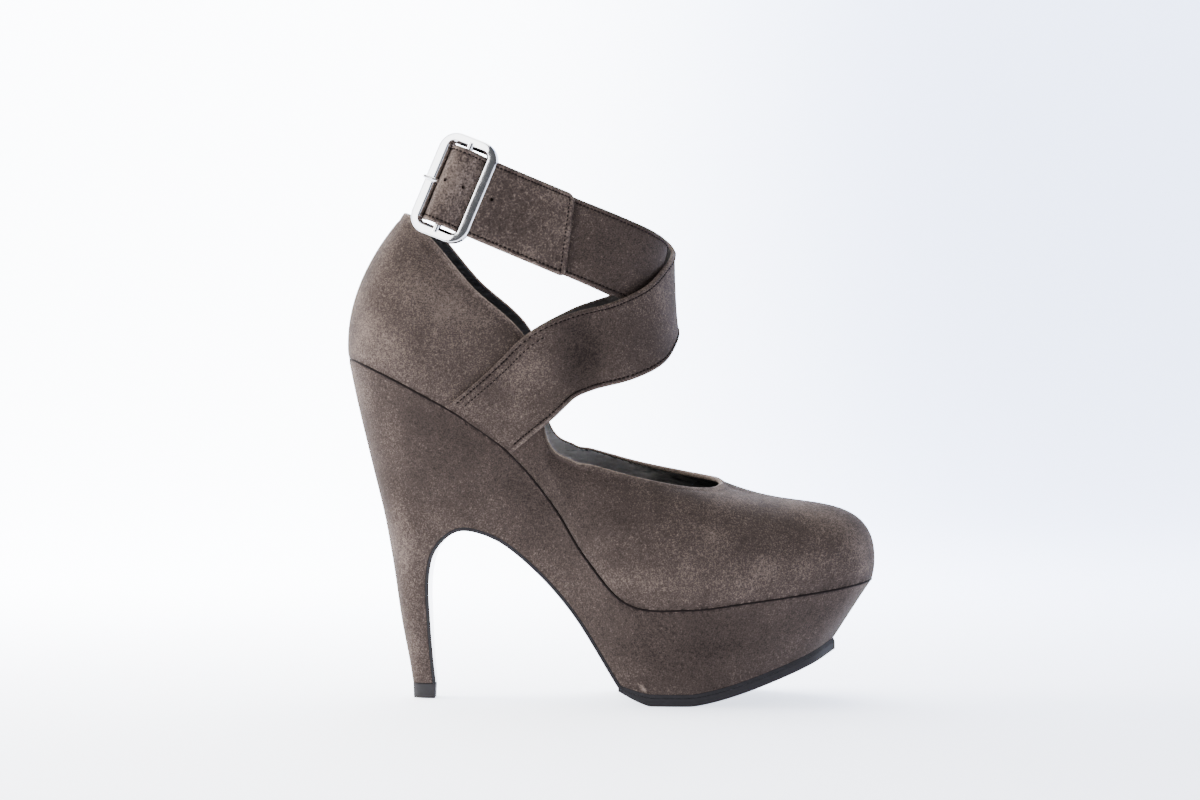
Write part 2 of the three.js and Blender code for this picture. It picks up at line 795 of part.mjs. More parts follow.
// A strap as a strip along its centre line, its width square to the line.
// side is the side it starts on, and turns its outer face outward.
// The width leans with the leg at the back and stands upright at the front.
class Strap {
  constructor(points, width, side, upright) {
    this.curve = new THREE.CatmullRomCurve3(points, false, 'centripetal');
    this.curve.arcLengthDivisions = 600;
    this.length = this.curve.getLength();
    this.width = width;
    this.side = side;
    this.upright = upright;
  }

  widthGuide(point) {
    const { forward } = toLoop(point);
    const ahead = (forward / (loopLength / 2) - uprightFrom) / (1 - uprightFrom);
    const lean = loopTilt * (1 - smoothStep(ahead) * this.upright);
    return new THREE.Vector3(Math.sin(lean), 0, Math.cos(lean));
  }

  frame(distance) {
    const inside = Math.min(Math.max(distance, 0), this.length);
    const tangent = this.curve.getTangentAt(inside / this.length);
    const point = this.curve.getPointAt(inside / this.length);
    point.addScaledVector(tangent, distance - inside);
    const guide = this.widthGuide(point);
    const across = guide.clone().addScaledVector(tangent, -guide.dot(tangent)).normalize();
    const outward = tangent.clone().cross(across).multiplyScalar(-this.side);
    return { point, tangent, across, outward };
  }

  // How far the line across the strap is shifted along it, so the foot follows the seam.
  footShift(across) {
    const { tangent, across: width } = this.frame(0);
    const place = sidePlace(strapFootRow, this.side);
    const seam = featherPoint(place + 0.1).sub(featherPoint(place - 0.1));
    const cross = (a, b) => a.x * b.z - a.z * b.x;
    return -across * this.width * cross(width, seam) / cross(tangent, seam);
  }

  // distance along the strap, across from -0.5 (lower edge) to 0.5, outward lift.
  surface(distance, across, lift, tailShift) {
    const footFade = 1 - smoothStep(distance / (1.5 * this.width));
    const tailFade = 1 - smoothStep((this.length - distance) / this.width);
    const shift = this.footShift(across) * footFade - across * tailShift * tailFade;
    const { point, across: width, outward } = this.frame(distance + shift);
    point.addScaledVector(width, across * this.width);
    const laid = distance < 3 * this.width ? this.layOnUpper(point, distance) : point;
    return laid.addScaledVector(outward, lift);
  }

  // Moves a point sideways, so that the strap's foot lies flat on the upper. Past the
  // foot, the strap is only pushed out where it would cross the upper.
  layOnUpper(point, distance) {
    const under = nearestOnUpper(point, this.side);
    const apart = Math.hypot(point.x - under.x, point.z - under.z);
    const near = 1 - smoothStep(apart / 12);
    const wanted = Math.abs(under.y) + strapThickness / 2 + 1.5 * gap;
    const short = wanted - Math.abs(point.y);
    const held = short > 0 ? 1 : 1 - smoothStep((distance / this.width - footHeld) / footRelease);
    const laid = point.clone();
    laid.y += this.side * short * near * held;
    return laid;
  }
}

// Point of the upper's outer face that lies behind or nearest to a point in side view.
function nearestOnUpper(point, side) {
  const apart = (candidate) => (candidate.x - point.x) ** 2 + (candidate.z - point.z) ** 2;
  let best = { place: 0, rise: 0, distance: Infinity };
  let placeStep = 0.5;
  let riseStep = 0.125;
  let rows = steps(2, 8, 12);
  let rises = steps(0, 1, 8);
  for (let pass = 0; pass < 6; pass += 1) {
    for (const row of rows) {
      for (const rise of rises) {
        const distance = apart(upperOuter(sidePlace(row, side), rise));
        if (distance < best.distance) {
          best = { place: row, rise, distance };
        }
      }
    }
    placeStep /= 2;
    riseStep /= 2;
    rows = [best.place - placeStep, best.place, best.place + placeStep];
    rises = [best.rise - riseStep, best.rise, best.rise + riseStep]
      .map((rise) => Math.min(Math.max(rise, 0), 1));
  }
  return upperOuter(sidePlace(best.place, side), best.rise);
}

function strapGeometry(strap, segments, tailShift) {
  const acrossSteps = steps(-0.5, 0.5, 4);
  const half = strapThickness / 2;
  const distances = steps(0, strap.length, segments);
  const face = (lift) => distances.map((distance) => acrossSteps
    .map((across) => strap.surface(distance, across, lift, tailShift)));
  const outer = face(half);
  const inner = face(-half);
  const edge = (pick) => outer.map((line, i) => [line.at(pick), inner[i].at(pick)]);
  return closedGeometry([
    ...gridTriangles(outer),
    ...gridTriangles([...inner].reverse()),
    ...gridTriangles(edge(0).reverse()),
    ...gridTriangles(edge(-1)),
    ...gridTriangles([inner[0], outer[0]]),
    ...gridTriangles([outer.at(-1), inner.at(-1)]),
  ]);
}

// Solids for joins and cuts
function toManifold(geometry) {
  const bare = geometry.clone();
  bare.deleteAttribute('normal');
  bare.deleteAttribute('uv');
  const merged = mergeVertices(bare, 1e-4);
  return new wasm.Manifold(new wasm.Mesh({
    numProp: 3,
    vertProperties: Float32Array.from(merged.getAttribute('position').array),
    triVerts: Uint32Array.from(merged.getIndex().array),
  }));
}

function fromManifold(solid) {
  const { vertProperties, triVerts } = solid.getMesh();
  const geometry = new THREE.BufferGeometry();
  geometry.setAttribute('position', new THREE.BufferAttribute(vertProperties, 3));
  geometry.setIndex(new THREE.BufferAttribute(triVerts, 1));
  geometry.computeVertexNormals();
  return geometry;
}

function makeLateralStrap() {
  const strap = new Strap(lateralRoute(), lateralStrapWidth, -1, lateralUpright);
  const band = strapGeometry(strap, 84, tailSlant);
  const hole = prongHole();
  return fromManifold(toManifold(band).subtract(toManifold(hole)));
}

function makeMedialStrap() {
  const strap = new Strap(medialRoute(), medialStrapWidth, 1, medialUpright);
  const band = strapGeometry(strap, 84, 0);
  return fromManifold(toManifold(band).subtract(toManifold(prongSlot())));
}

// Turns a shape made in the buckle's own frame into place: x along the strap,
// y across it, z outward.
const buckleFrameMatrix = new THREE.Matrix4()
  .makeBasis(
    atBuckle(1, 0).sub(atBuckle(0, 0)),
    loopUp,
    atBuckle(0, 1).sub(atBuckle(0, 0)),
  )
  .setPosition(atBuckle(0, 0));

const prongRise = -buckleLength / 2 + buckleBar + prongRadius + gap;

function prongHole() {
  const hole = new THREE.CylinderGeometry(prongHoleRadius, prongHoleRadius, 8, 12);
  hole.rotateX(Math.PI / 2);
  hole.translate(prongRise + prongRadius / 2, 0, 0);
  return hole.applyMatrix4(buckleFrameMatrix);
}

// Slot in the medial strap's eye, where the prong's own eye sits on the centre bar.
function prongSlot() {
  const reach = 2 * eyeRadius + strapThickness;
  const width = 2 * prongRadius + 2 * gap;
  const slot = new THREE.BoxGeometry(reach, width, reach);
  slot.translate(-reach * 0.24, 0, 0);
  return slot.applyMatrix4(buckleFrameMatrix);
}

function roundedOutline(path, length, width, corner) {
  const x = length / 2;
  const y = width / 2;
  path.moveTo(x, -y + corner);
  path.lineTo(x, y - corner);
  path.absarc(x - corner, y - corner, corner, 0, Math.PI / 2);
  path.lineTo(-x + corner, y);
  path.absarc(-x + corner, y - corner, corner, Math.PI / 2, Math.PI);
  path.lineTo(-x, -y + corner);
  path.absarc(-x + corner, -y + corner, corner, Math.PI, 1.5 * Math.PI);
  path.lineTo(x - corner, -y);
  path.absarc(x - corner, -y + corner, corner, 1.5 * Math.PI, 2 * Math.PI);
  return path;
}

function makeBuckleFrame() {
  const bevel = buckleThickness * 0.3;
  const outline = roundedOutline(
    new THREE.Shape(),
    buckleLength - 2 * bevel,
    buckleWidth - 2 * bevel,
    buckleCorner - bevel,
  );
  outline.holes.push(roundedOutline(
    new THREE.Path(),
    buckleLength - 2 * buckleBar + 2 * bevel,
    buckleWidth - 2 * buckleSideBar + 2 * bevel,
    buckleInnerCorner + bevel,
  ));
  const ring = new THREE.ExtrudeGeometry(outline, {
    depth: buckleThickness - 2 * bevel,
    bevelThickness: bevel,
    bevelSize: bevel,
    bevelSegments: 1,
    curveSegments: 5,
  });
  ring.translate(0, 0, bevel - buckleThickness / 2);
  const barLength = buckleWidth - buckleSideBar;
  const bar = new THREE.CylinderGeometry(centreBarRadius, centreBarRadius, barLength, 10);
  return fromManifold(toManifold(ring).add(toManifold(bar)));
}

function makeProng() {
  const top = buckleThickness / 2 + gap + prongRadius;
  const eye = centreBarRadius + gap + prongRadius;
  const line = new THREE.CatmullRomCurve3([
    new THREE.Vector3(eye * 0.5, 0, eye * 0.87),
    new THREE.Vector3(0, 0, eye),
    new THREE.Vector3(-eye * 0.74, 0, eye * 0.74),
    new THREE.Vector3(-eye * 1.03, 0, eye * 0.2),
    new THREE.Vector3(lerp(-eye, prongRise, 0.55), 0, 0),
    new THREE.Vector3(prongRise, 0, top * 0.55),
    new THREE.Vector3(prongRise - 1.6 * prongRadius, 0, top),
    new THREE.Vector3(-buckleLength / 2 - prongRadius / 2, 0, top),
  ], false, 'centripetal');
  const section = new THREE.Shape();
  section.absellipse(0, 0, prongRadius, prongRadius * 0.9, 0, 2 * Math.PI);
  return new THREE.ExtrudeGeometry(section, { extrudePath: line, steps: 20, curveSegments: 4 });
}

// Finishes
const suede = () => new THREE.MeshStandardMaterial({ color: 0x665852, roughness: 0.95 });
const darkLeather = () => new THREE.MeshStandardMaterial({ color: 0x24211f, roughness: 0.45 });
const rubber = () => new THREE.MeshStandardMaterial({ color: 0x3f3f41, roughness: 0.8 });
const chrome = () => new THREE.MeshStandardMaterial({
  color: 0xd6d7da,
  roughness: 0.15,
  metalness: 1,
});

function piece(name, geometry, material) {
  const mesh = new THREE.Mesh(geometry, material);
  mesh.name = name;
  return mesh;
}

const pump = new THREE.Group();
pump.add(
  piece('upper', makeUpper(), suede()),
  piece('insole', makeInsole(), darkLeather()),
  piece('heel_platform_unit', makeUnit(), suede()),
  piece('leather_sole', makeLeatherSole(), darkLeather()),
  piece('outsole', makeOutsole(), rubber()),
  piece('heel_tip', makeHeelTip(), rubber()),
  piece('strap_lateral', makeLateralStrap(), suede()),
  piece('strap_medial', makeMedialStrap(), suede()),
);

const buckle = new THREE.Group();
buckle.applyMatrix4(buckleFrameMatrix);
buckle.add(
  piece('buckle_frame', makeBuckleFrame(), chrome()),
  piece('buckle_prong', makeProng(), chrome()),
);
pump.add(buckle);

export default pump;
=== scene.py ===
"""Platform pump with crossing ankle straps, right shoe, laid out as a Blender add-on."""
import math

import bmesh
import bpy
import numpy as np
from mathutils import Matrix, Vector


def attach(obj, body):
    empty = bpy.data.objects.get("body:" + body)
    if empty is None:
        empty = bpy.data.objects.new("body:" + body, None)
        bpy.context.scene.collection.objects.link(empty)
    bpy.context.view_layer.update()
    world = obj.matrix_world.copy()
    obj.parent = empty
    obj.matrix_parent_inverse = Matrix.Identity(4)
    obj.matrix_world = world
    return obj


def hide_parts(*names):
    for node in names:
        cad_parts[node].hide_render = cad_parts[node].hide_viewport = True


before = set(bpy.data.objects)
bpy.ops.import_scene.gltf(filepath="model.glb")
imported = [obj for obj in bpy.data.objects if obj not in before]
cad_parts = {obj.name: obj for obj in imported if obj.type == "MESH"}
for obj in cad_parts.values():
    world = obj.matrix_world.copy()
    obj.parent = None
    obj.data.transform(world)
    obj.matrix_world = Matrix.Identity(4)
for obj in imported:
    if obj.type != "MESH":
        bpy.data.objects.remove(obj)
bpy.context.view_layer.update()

bl_info = {
    "name": "Platform Pump",
    "version": (1, 0, 0),
    "blender": (4, 5, 0),
    "location": "View3D > Sidebar > Pump",
    "description": "Builds a suede platform pump with crossing ankle straps",
    "category": "Add Mesh",
}

# Shapes are worked out in millimetres: X to the toe, Y to the inner side, Z up,
# from the centre of the heel tip on the floor. Meshes are written in metres.
MM = 0.001

# The feather edge, where upper and sole unit meet, from the back centre to the toe.
# Columns: along (share of shoe length), lateral and medial half widths (shares of ball
# width), height (share of the climb from platform to seat), spring (share of toe spring).
FEATHER = np.array([
    (0.004, 0.000, 0.000, 1.000, 0.00),
    (0.045, 0.206, 0.206, 0.968, 0.00),
    (0.131, 0.313, 0.313, 0.874, 0.00),
    (0.226, 0.335, 0.325, 0.757, 0.00),
    (0.316, 0.313, 0.294, 0.608, 0.00),
    (0.391, 0.310, 0.275, 0.411, 0.00),
    (0.452, 0.363, 0.313, 0.200, 0.00),
    (0.529, 0.450, 0.388, 0.021, 0.00),
    (0.638, 0.500, 0.475, 0.000, 0.02),
    (0.755, 0.456, 0.469, 0.000, 0.30),
    (0.873, 0.345, 0.385, 0.000, 0.61),
    (0.954, 0.205, 0.245, 0.000, 0.87),
    (0.993, 0.000, 0.000, 0.000, 1.00),
]).T

# The topline, one row above each feather row. Columns: along, side (share of ball
# width), rise above the feather (share of upper height), lift (share of medial lift).
TOPLINE = np.array([
    (0.109, 0.000, 1.000, 0.00),
    (0.126, 0.119, 1.005, 0.30),
    (0.174, 0.225, 0.980, 1.00),
    (0.244, 0.300, 0.875, 1.00),
    (0.349, 0.335, 0.736, 1.00),
    (0.381, 0.341, 0.442, 1.00),
    (0.429, 0.360, 0.646, 1.00),
    (0.466, 0.369, 0.917, 1.00),
    (0.552, 0.350, 0.865, 1.00),
    (0.629, 0.275, 0.763, 1.00),
    (0.683, 0.163, 0.695, 0.80),
    (0.703, 0.069, 0.668, 0.45),
    (0.708, 0.000, 0.657, 0.00),
]).T

# How the wall bulges between feather and topline, as shares of upper height. Columns:
# flare and climb of the lower handle; ahead, wide and drop of the upper handle.
WALL = np.array([
    (0.037, 0.363, -0.253, 0.000, 0.287),
    (0.050, 0.367, -0.200, 0.100, 0.300),
    (0.058, 0.333, -0.083, 0.117, 0.300),
    (0.050, 0.283, -0.033, 0.067, 0.267),
    (0.042, 0.250, -0.017, 0.042, 0.250),
    (0.042, 0.233, -0.020, 0.025, 0.217),
    (0.042, 0.217, 0.030, 0.033, 0.200),
    (0.042, 0.300, 0.083, 0.083, 0.283),
    (0.050, 0.317, 0.117, 0.158, 0.233),
    (0.050, 0.333, 0.217, 0.200, 0.133),
    (0.083, 0.450, 0.367, 0.150, 0.150),
    (0.117, 0.633, 0.383, 0.050, 0.208),
    (0.125, 0.725, 0.375, 0.000, 0.228),
]).T

# The back line of the heel. Columns: back (share of heel reach), height (share of seat).
HEEL_BACK = np.array([
    (0.973, 1.000), (0.854, 0.867), (0.678, 0.695), (0.587, 0.610), (0.502, 0.525),
    (0.404, 0.397), (0.301, 0.234), (0.200, 0.110), (0.155, 0.0447),
]).T

# The breast, upwards. Columns: ahead (share of breast reach), height (share of arch
# height), half width (share of ball width).
BREAST = np.array([
    (0.198, 0.088, 0.0625), (0.142, 0.210, 0.079), (0.074, 0.433, 0.119),
    (0.049, 0.698, 0.163), (0.210, 0.859, 0.206), (0.586, 0.961, 0.228),
    (1.000, 1.000, 0.244),
]).T

# The underside of the arch. Columns: along (share of the way to the platform), height
# (share of arch height), tuck (share of the feather's half width above).
ARCH = np.array([(0.212, 0.948, 0.71), (0.458, 0.779, 0.72), (0.705, 0.532, 0.74)]).T

# The underside of the platform. Columns: along (share of shoe length), tuck.
PLATFORM = np.array([
    (0.516, 0.83), (0.606, 0.84), (0.696, 0.88), (0.787, 0.90), (0.868, 0.90), (0.919, 0.90),
]).T

# Rows and levels of these tables at which one part ends and the next begins.
TOE_ROW = FEATHER.shape[1] - 1
RING_ROWS = 2 * TOE_ROW
BREAST_ROW = 3
PLATFORM_ROW = BREAST_ROW + ARCH.shape[1] + 1
ARCH_LEVEL = 2
TIP_LEVEL = HEEL_BACK.shape[1] - 1
BREAST_TOP = BREAST.shape[1] - 1
REAR_EDGE = BREAST_TOP + ARCH.shape[1] + 1
UNDERSIDE_END = REAR_EDGE + PLATFORM.shape[1] - 1

# The level part of the tread, as shares of the shoe's length.
FLAT_REAR = 0.570
FLAT_FRONT = 0.642

# The climb of a strap from the seam to the front of the loop.
# Columns: ahead and climb (shares of the way), side (share of half the loop width).
LATERAL_CLIMB = [(0.215, 0.265, 0.955), (0.345, 0.440, 0.965), (0.520, 0.555, 0.930),
                 (0.800, 0.690, 0.840), (0.975, 0.820, 0.600)]
MEDIAL_CLIMB = [(0.175, 0.285, 0.955), (0.320, 0.465, 0.925), (0.530, 0.605, 0.790),
                (0.790, 0.735, 0.600), (0.950, 0.845, 0.330)]

# The level part round the ankle. Columns: forward (share of half the loop length),
# side (share of half the loop width), up (share of the strap's width).
LATERAL_LOOP = [(1.035, 0.000, -0.160), (0.985, 0.430, -0.040), (0.790, 0.800, 0.055),
                (0.440, 0.975, 0.095), (0.000, 1.000, 0.100), (-0.450, 0.985, 0.100),
                (-0.800, 0.840, 0.100), (-0.940, 0.500, 0.095), (-0.960, 0.000, 0.090),
                (-0.940, -0.430, 0.050)]
MEDIAL_LOOP = [(1.000, 0.000, -0.150), (0.960, 0.380, -0.020), (0.800, 0.690, 0.010),
               (0.500, 0.870, 0.010), (0.100, 0.925, 0.000), (-0.270, 0.930, 0.000)]
TAIL = [(-0.380, 1.045), (0.000, 1.030), (0.155, 1.020)]

# Row of the feather edge where the strap's foot is caught in the seam.
STRAP_FOOT_ROW = 3.34

# Punched holes of the lateral strap: their pitch, and how far they lie above its middle.
HOLE_PITCH = 7.2
HOLE_LIFT = 1.4
HOLE_RADIUS = 0.75
PRONG_HOLE_RADIUS = 1.6
CUT_DEPTH = 4.0

# Rows of stitches: how far from the strap's edge, stitch to stitch, and one stitch.
STITCH_INSET = 1.9
STITCH_PITCH = 1.6
STITCH_LENGTH = 1.25
THREAD_RADIUS = 0.28

# Length flat on the upper and length of release, as shares of the strap's width.
FOOT_HELD, FOOT_RELEASE = 0.55, 0.78

# Clearance between neighbouring pieces, and between upper and unit in their seam.
GAP = 0.3
SEAM_GAP = 0.5


def unit(vectors):
    """Vectors divided by their lengths."""
    return vectors / np.linalg.norm(vectors, axis=-1, keepdims=True)


def smooth_step(t):
    """0 below 0, 1 above 1, and 3t^2 - 2t^3 between."""
    t = np.clip(t, 0.0, 1.0)
    return t * t * (3 - 2 * t)


def catmull(p0, p1, p2, p3, t):
    """The cubic from p1 to p2 whose slopes are (p2 - p0) / 2 and (p3 - p1) / 2."""
    slope_in, slope_out = (p2 - p0) / 2, (p3 - p1) / 2
    t2, t3 = t * t, t * t * t
    return ((2 * t3 - 3 * t2 + 1) * p1 + (t3 - 2 * t2 + t) * slope_in
            + (3 * t2 - 2 * t3) * p2 + (t3 - t2) * slope_out)


def ring_value(values, place):
    """Smooth value at a place of a closed ring of rows."""
    base = np.floor(place).astype(int)
    picks = [values[(base + step) % len(values)] for step in (-1, 0, 1, 2)]
    return catmull(*picks, place - base)


def row_value(values, place):
    """Smooth value at a place of an open line of rows, which runs on straight at its ends."""
    values = np.asarray(values, dtype=float)
    padded = np.concatenate([[2 * values[0] - values[1]], values, [2 * values[-1] - values[-2]]])
    row = np.clip(np.floor(place).astype(int), 0, len(values) - 2)
    return catmull(padded[row], padded[row + 1], padded[row + 2], padded[row + 3], place - row)


def ring(lateral, medial):
    """Rows to the toe on the lateral side and back on the medial side."""
    return np.concatenate([lateral, medial[-2:0:-1]])


def side_place(row, side):
    """The place on the ring of a row of the lateral (-1) or the medial (1) side."""
    return np.asarray(row) if side < 0 else RING_ROWS - np.asarray(row)


def centripetal_point(points, place):
    """Centripetal Catmull-Rom curve through the points; place counts them from 0.

    The knots between points are the square roots of their distances."""
    points = np.asarray(points, dtype=float)
    padded = np.concatenate([[2 * points[0] - points[1]], points, [2 * points[-1] - points[-2]]])
    row = np.clip(np.floor(place).astype(int), 0, len(points) - 2)
    p0, p1, p2, p3 = (padded[row + step] for step in range(4))
    d0, d1, d2 = (np.sqrt(np.linalg.norm(b - a, axis=-1, keepdims=True))
                  for a, b in ((p0, p1), (p1, p2), (p2, p3)))
    slope_in = ((p1 - p0) / d0 - (p2 - p0) / (d0 + d1) + (p2 - p1) / d1) * d1
    slope_out = ((p2 - p1) / d1 - (p3 - p1) / (d1 + d2) + (p3 - p2) / d2) * d1
    t = (place - row)[..., None]
    t2, t3 = t * t, t * t * t
    return ((2 * t3 - 3 * t2 + 1) * p1 + (t3 - 2 * t2 + t) * slope_in
            + (3 * t2 - 2 * t3) * p2 + (t3 - t2) * slope_out)


class Last:
    """Curves and surfaces of the upper and the sole, from the sizes of the shoe."""

    def __init__(self, sizes):
        self.length = sizes.shoe_length / MM
        self.reach = sizes.heel_reach / MM
        self.ball = sizes.ball_width / MM
        self.seat = sizes.seat_height / MM
        self.platform = sizes.platform_height / MM
        self.spring = sizes.toe_spring / MM
        self.tall = sizes.upper_height / MM
        self.wall = sizes.upper_wall / MM
        self.drift = 2.5
        self.medial_lift = 5.5
        self.arch_height = 71.6
        self.breast_reach = 16.2
        self.cover = 1.0
        self.outsole = 3.4
        self.toe_lift = 19.6
        self.rear_lift = 3.2
        self.tread_rear_lift = 5.2
        along, lateral, medial, height, spring = FEATHER
        x = self.x_along(along)
        z = self.platform + (self.seat - self.platform) * height + self.spring * spring
        drift = np.where(np.arange(TOE_ROW + 1) == TOE_ROW, self.drift, 0.0)
        self.row_x = x
        self.foot = np.stack([ring(x, x), ring(drift - lateral * self.ball,
                                               drift + medial * self.ball), ring(z, z)])
        along, side, rise, lift = TOPLINE
        top_x, top_z = self.x_along(along), z + rise * self.tall
        self.top = np.stack([ring(top_x, top_x), ring(-side * self.ball, side * self.ball),
                             ring(top_z, top_z + lift * self.medial_lift)])
        flare, climb, ahead, wide, drop = WALL * self.tall
        self.flare, self.climb = ring(flare, flare), ring(climb, climb)
        self.ahead, self.wide = ring(ahead, ahead), ring(-wide, wide)
        self.drop = ring(drop, drop)
        rows = np.linspace(0, TOE_ROW, 1201)
        self.bed_x = row_value(x, rows)
        self.bed_z = ring_value(self.foot[2], rows)
        rear = self.platform_bottom(np.array(0.0))
        breast = np.stack([BREAST[0] * self.breast_reach, BREAST[1] * self.arch_height])
        arch = np.stack([self.breast_reach + (rear[0] - self.breast_reach) * ARCH[0],
                         ARCH[1] * self.arch_height])
        self.arch_points = np.concatenate([breast.T, arch.T, rear[None]])

    def x_along(self, share):
        """X at a share of the shoe's length, counted from the back of the counter."""
        return share * self.length - self.reach

    def feather(self, place):
        """Point of the feather edge at a place of the ring."""
        return np.stack([ring_value(values, place) for values in self.foot], axis=-1)

    def outward(self, place):
        """Level direction square to the feather line, away from the foot."""
        step = self.feather(place + 0.01) - self.feather(place - 0.01)
        return unit(np.stack([step[..., 1], -step[..., 0], 0 * step[..., 0]], axis=-1))

    def topline(self, place):
        """Point of the topline at a place of the ring."""
        return np.stack([ring_value(values, place) for values in self.top], axis=-1)

    def outer(self, place, rise):
        """Outer face of the upper: at each place a cubic Bezier curve from the feather
        (rise 0) to the topline (rise 1), with a handle outward and up at its foot and one
        ahead, to the side and down at its top."""
        place, rise = np.broadcast_arrays(np.asarray(place, float), np.asarray(rise, float))
        foot, top = self.feather(place), self.topline(place)
        low = foot + self.outward(place) * ring_value(self.flare, place)[..., None]
        low[..., 2] += ring_value(self.climb, place)
        high = top + np.stack([ring_value(self.ahead, place), ring_value(self.wide, place),
                               -ring_value(self.drop, place)], axis=-1)
        t = rise[..., None]
        return ((1 - t) ** 3 * foot + 3 * t * (1 - t) ** 2 * low
                + 3 * t ** 2 * (1 - t) * high + t ** 3 * top)

    def outer_normal(self, place, rise):
        """Unit normal of the outer face, from its slopes along and up."""
        place, rise = np.broadcast_arrays(np.asarray(place, float), np.asarray(rise, float))
        low, high = np.maximum(rise - 0.01, 0), np.minimum(rise + 0.01, 1)
        across = self.outer(place + 0.01, rise) - self.outer(place - 0.01, rise)
        up = self.outer(place, high) - self.outer(place, low)
        return unit(np.cross(across, up))

    def bed_height(self, x):
        """Height of the foot's bed, level from side to side."""
        return np.interp(x, self.bed_x, self.bed_z)

    def bed_normal(self, x):
        """Unit normal of the foot's bed, from its slope over 1 mm."""
        slope = self.bed_height(x + 0.5) - self.bed_height(x - 0.5)
        return unit(np.stack([-slope, 0 * slope, 1 + 0 * slope], axis=-1))

    def seam(self, row, side, inset, drop):
        """Point inside the feather by inset, on the foot's bed and below it by drop."""
        place = side_place(row, side)
        point = self.feather(place) - self.outward(place) * inset
        x = np.minimum(point[..., 0], self.row_x[-1])
        point[..., 2] = self.bed_height(x)
        return point - self.bed_normal(x) * drop

    def tread_height(self, x, rear_lift):
        """0 on the flat, power 1.3 towards the rear edge, power 1.35 towards the toe."""
        rear, front = self.x_along(FLAT_REAR), self.x_along(FLAT_FRONT)
        rear_end, front_end = self.x_along(PLATFORM[0][0]), self.x_along(PLATFORM[0][-1])
        back = rear_lift * (np.maximum(rear - x, 0) / (rear - rear_end)) ** 1.3
        ahead = self.toe_lift * (np.maximum(x - front, 0) / (front_end - front)) ** 1.35
        return back + ahead

    def platform_bottom(self, step):
        """Underside of the platform as (x, z): the outsole and the cover above the tread."""
        x = self.x_along(row_value(PLATFORM[0], step))
        stack = self.outsole + self.cover + 2 * GAP
        return np.stack([x, stack + self.tread_height(x, self.rear_lift)], axis=-1)

    def underside_line(self, place):
        """Side view of the underside as (x, z): up the breast, over the arch, to the toe."""
        place = np.asarray(place, float)
        arch = centripetal_point(self.arch_points, np.minimum(place, REAR_EDGE))
        flat = self.platform_bottom(np.maximum(place - REAR_EDGE, 0))
        return np.where((place > REAR_EDGE)[..., None], flat, arch)

    def centre(self, row):
        """Middle line: 0 up to the platform, then a smooth step to the toe's drift."""
        return self.drift * smooth_step((row - PLATFORM_ROW) / (TOE_ROW - PLATFORM_ROW))

    def underside_y(self, place, side):
        """Edge of the underside: the breast's half width, then the feather's times a tuck."""
        breast = side * row_value(BREAST[2], np.minimum(place, BREAST_TOP)) * self.ball
        row = np.clip(place - BREAST_TOP, 0, None) + BREAST_ROW
        first = BREAST[2][-1] / FEATHER[1][BREAST_ROW]
        tucks = np.concatenate([[first], ARCH[2], PLATFORM[1]])
        tuck = row_value(tucks, row - BREAST_ROW)
        middle = self.centre(row)
        front = middle + (self.feather(side_place(row, side))[..., 1] - middle) * tuck
        return np.where(place <= BREAST_TOP, breast, front)

    def underside_normal(self, place):
        """Unit normal of the underside line, away from the unit, mitred at the rear edge."""
        def slope(low, high):
            step = self.underside_line(high) - self.underside_line(low)
            return unit(np.stack([step[..., 1], -step[..., 0]], axis=-1))
        place = np.asarray(place, float)
        normal = slope(np.maximum(place - 0.02, 0), np.minimum(place + 0.02, UNDERSIDE_END))
        before = slope(np.array(REAR_EDGE - 0.02), np.array(REAR_EDGE * 1.0))
        after = slope(np.array(REAR_EDGE + 0.02), np.array(REAR_EDGE + 0.04))
        mitre = unit(before + after)
        mitre = mitre / (mitre @ after)
        return np.where((np.abs(place - REAR_EDGE) < 0.02)[..., None], mitre, normal)

    def underside(self, place, side, drop, share):
        """Point below the underside by drop, at a share of its half width."""
        place = np.asarray(place, float)
        line, normal = self.underside_line(place), self.underside_normal(place)
        middle = self.centre(place - BREAST_TOP + BREAST_ROW)
        y = middle + (self.underside_y(place, side) - middle) * share
        return np.stack([line[..., 0] + normal[..., 0] * drop, y,
                         line[..., 1] + normal[..., 1] * drop], axis=-1)

    def front_side(self, row, level, side):
        """Side of the unit ahead of the breast: straight from the seam to the underside."""
        top = self.seam(row, side, 0.5, SEAM_GAP)
        foot = self.underside(row - BREAST_ROW + BREAST_TOP, side, 0, 1)
        return top + (foot - top) * (level / ARCH_LEVEL)[..., None]

    def heel_side(self, row, level, side):
        """Side of the heel: at each level straight from the back line to the breast line,
        in the same shares as the seam above, and as round as the seam is."""
        seam = self.seam(row, side, 0.5, SEAM_GAP)
        back0 = self.seam(np.array(0.0), side, 0.5, SEAM_GAP)
        front0 = self.seam(np.array(float(BREAST_ROW)), side, 0.5, SEAM_GAP)
        forward = ((seam[..., 0] - back0[0]) / (front0[0] - back0[0]))[..., None]
        share = seam[..., 1] / front0[1]
        back = np.stack([-row_value(HEEL_BACK[0], level) * self.reach, 0 * level,
                         row_value(HEEL_BACK[1], level) * self.seat], axis=-1)
        back = np.where(level[..., None] <= 0, back0, back)
        arch_top = self.underside(np.array(float(BREAST_TOP)), side, 0, 1)
        down = (np.minimum(level, ARCH_LEVEL) / ARCH_LEVEL)[..., None]
        upper = front0 + (arch_top - front0) * down
        lower = self.underside(np.minimum(TIP_LEVEL - level, BREAST_TOP), side, 0, 1)
        front = np.where((level <= ARCH_LEVEL)[..., None], upper, lower)
        point = back + (front - back) * forward
        bend = seam[..., 2] - (back0[2] + (front0[2] - back0[2]) * forward[..., 0])
        point[..., 2] += bend * (1 - level / TIP_LEVEL) ** 4
        point[..., 1] = front[..., 1] * share
        return point


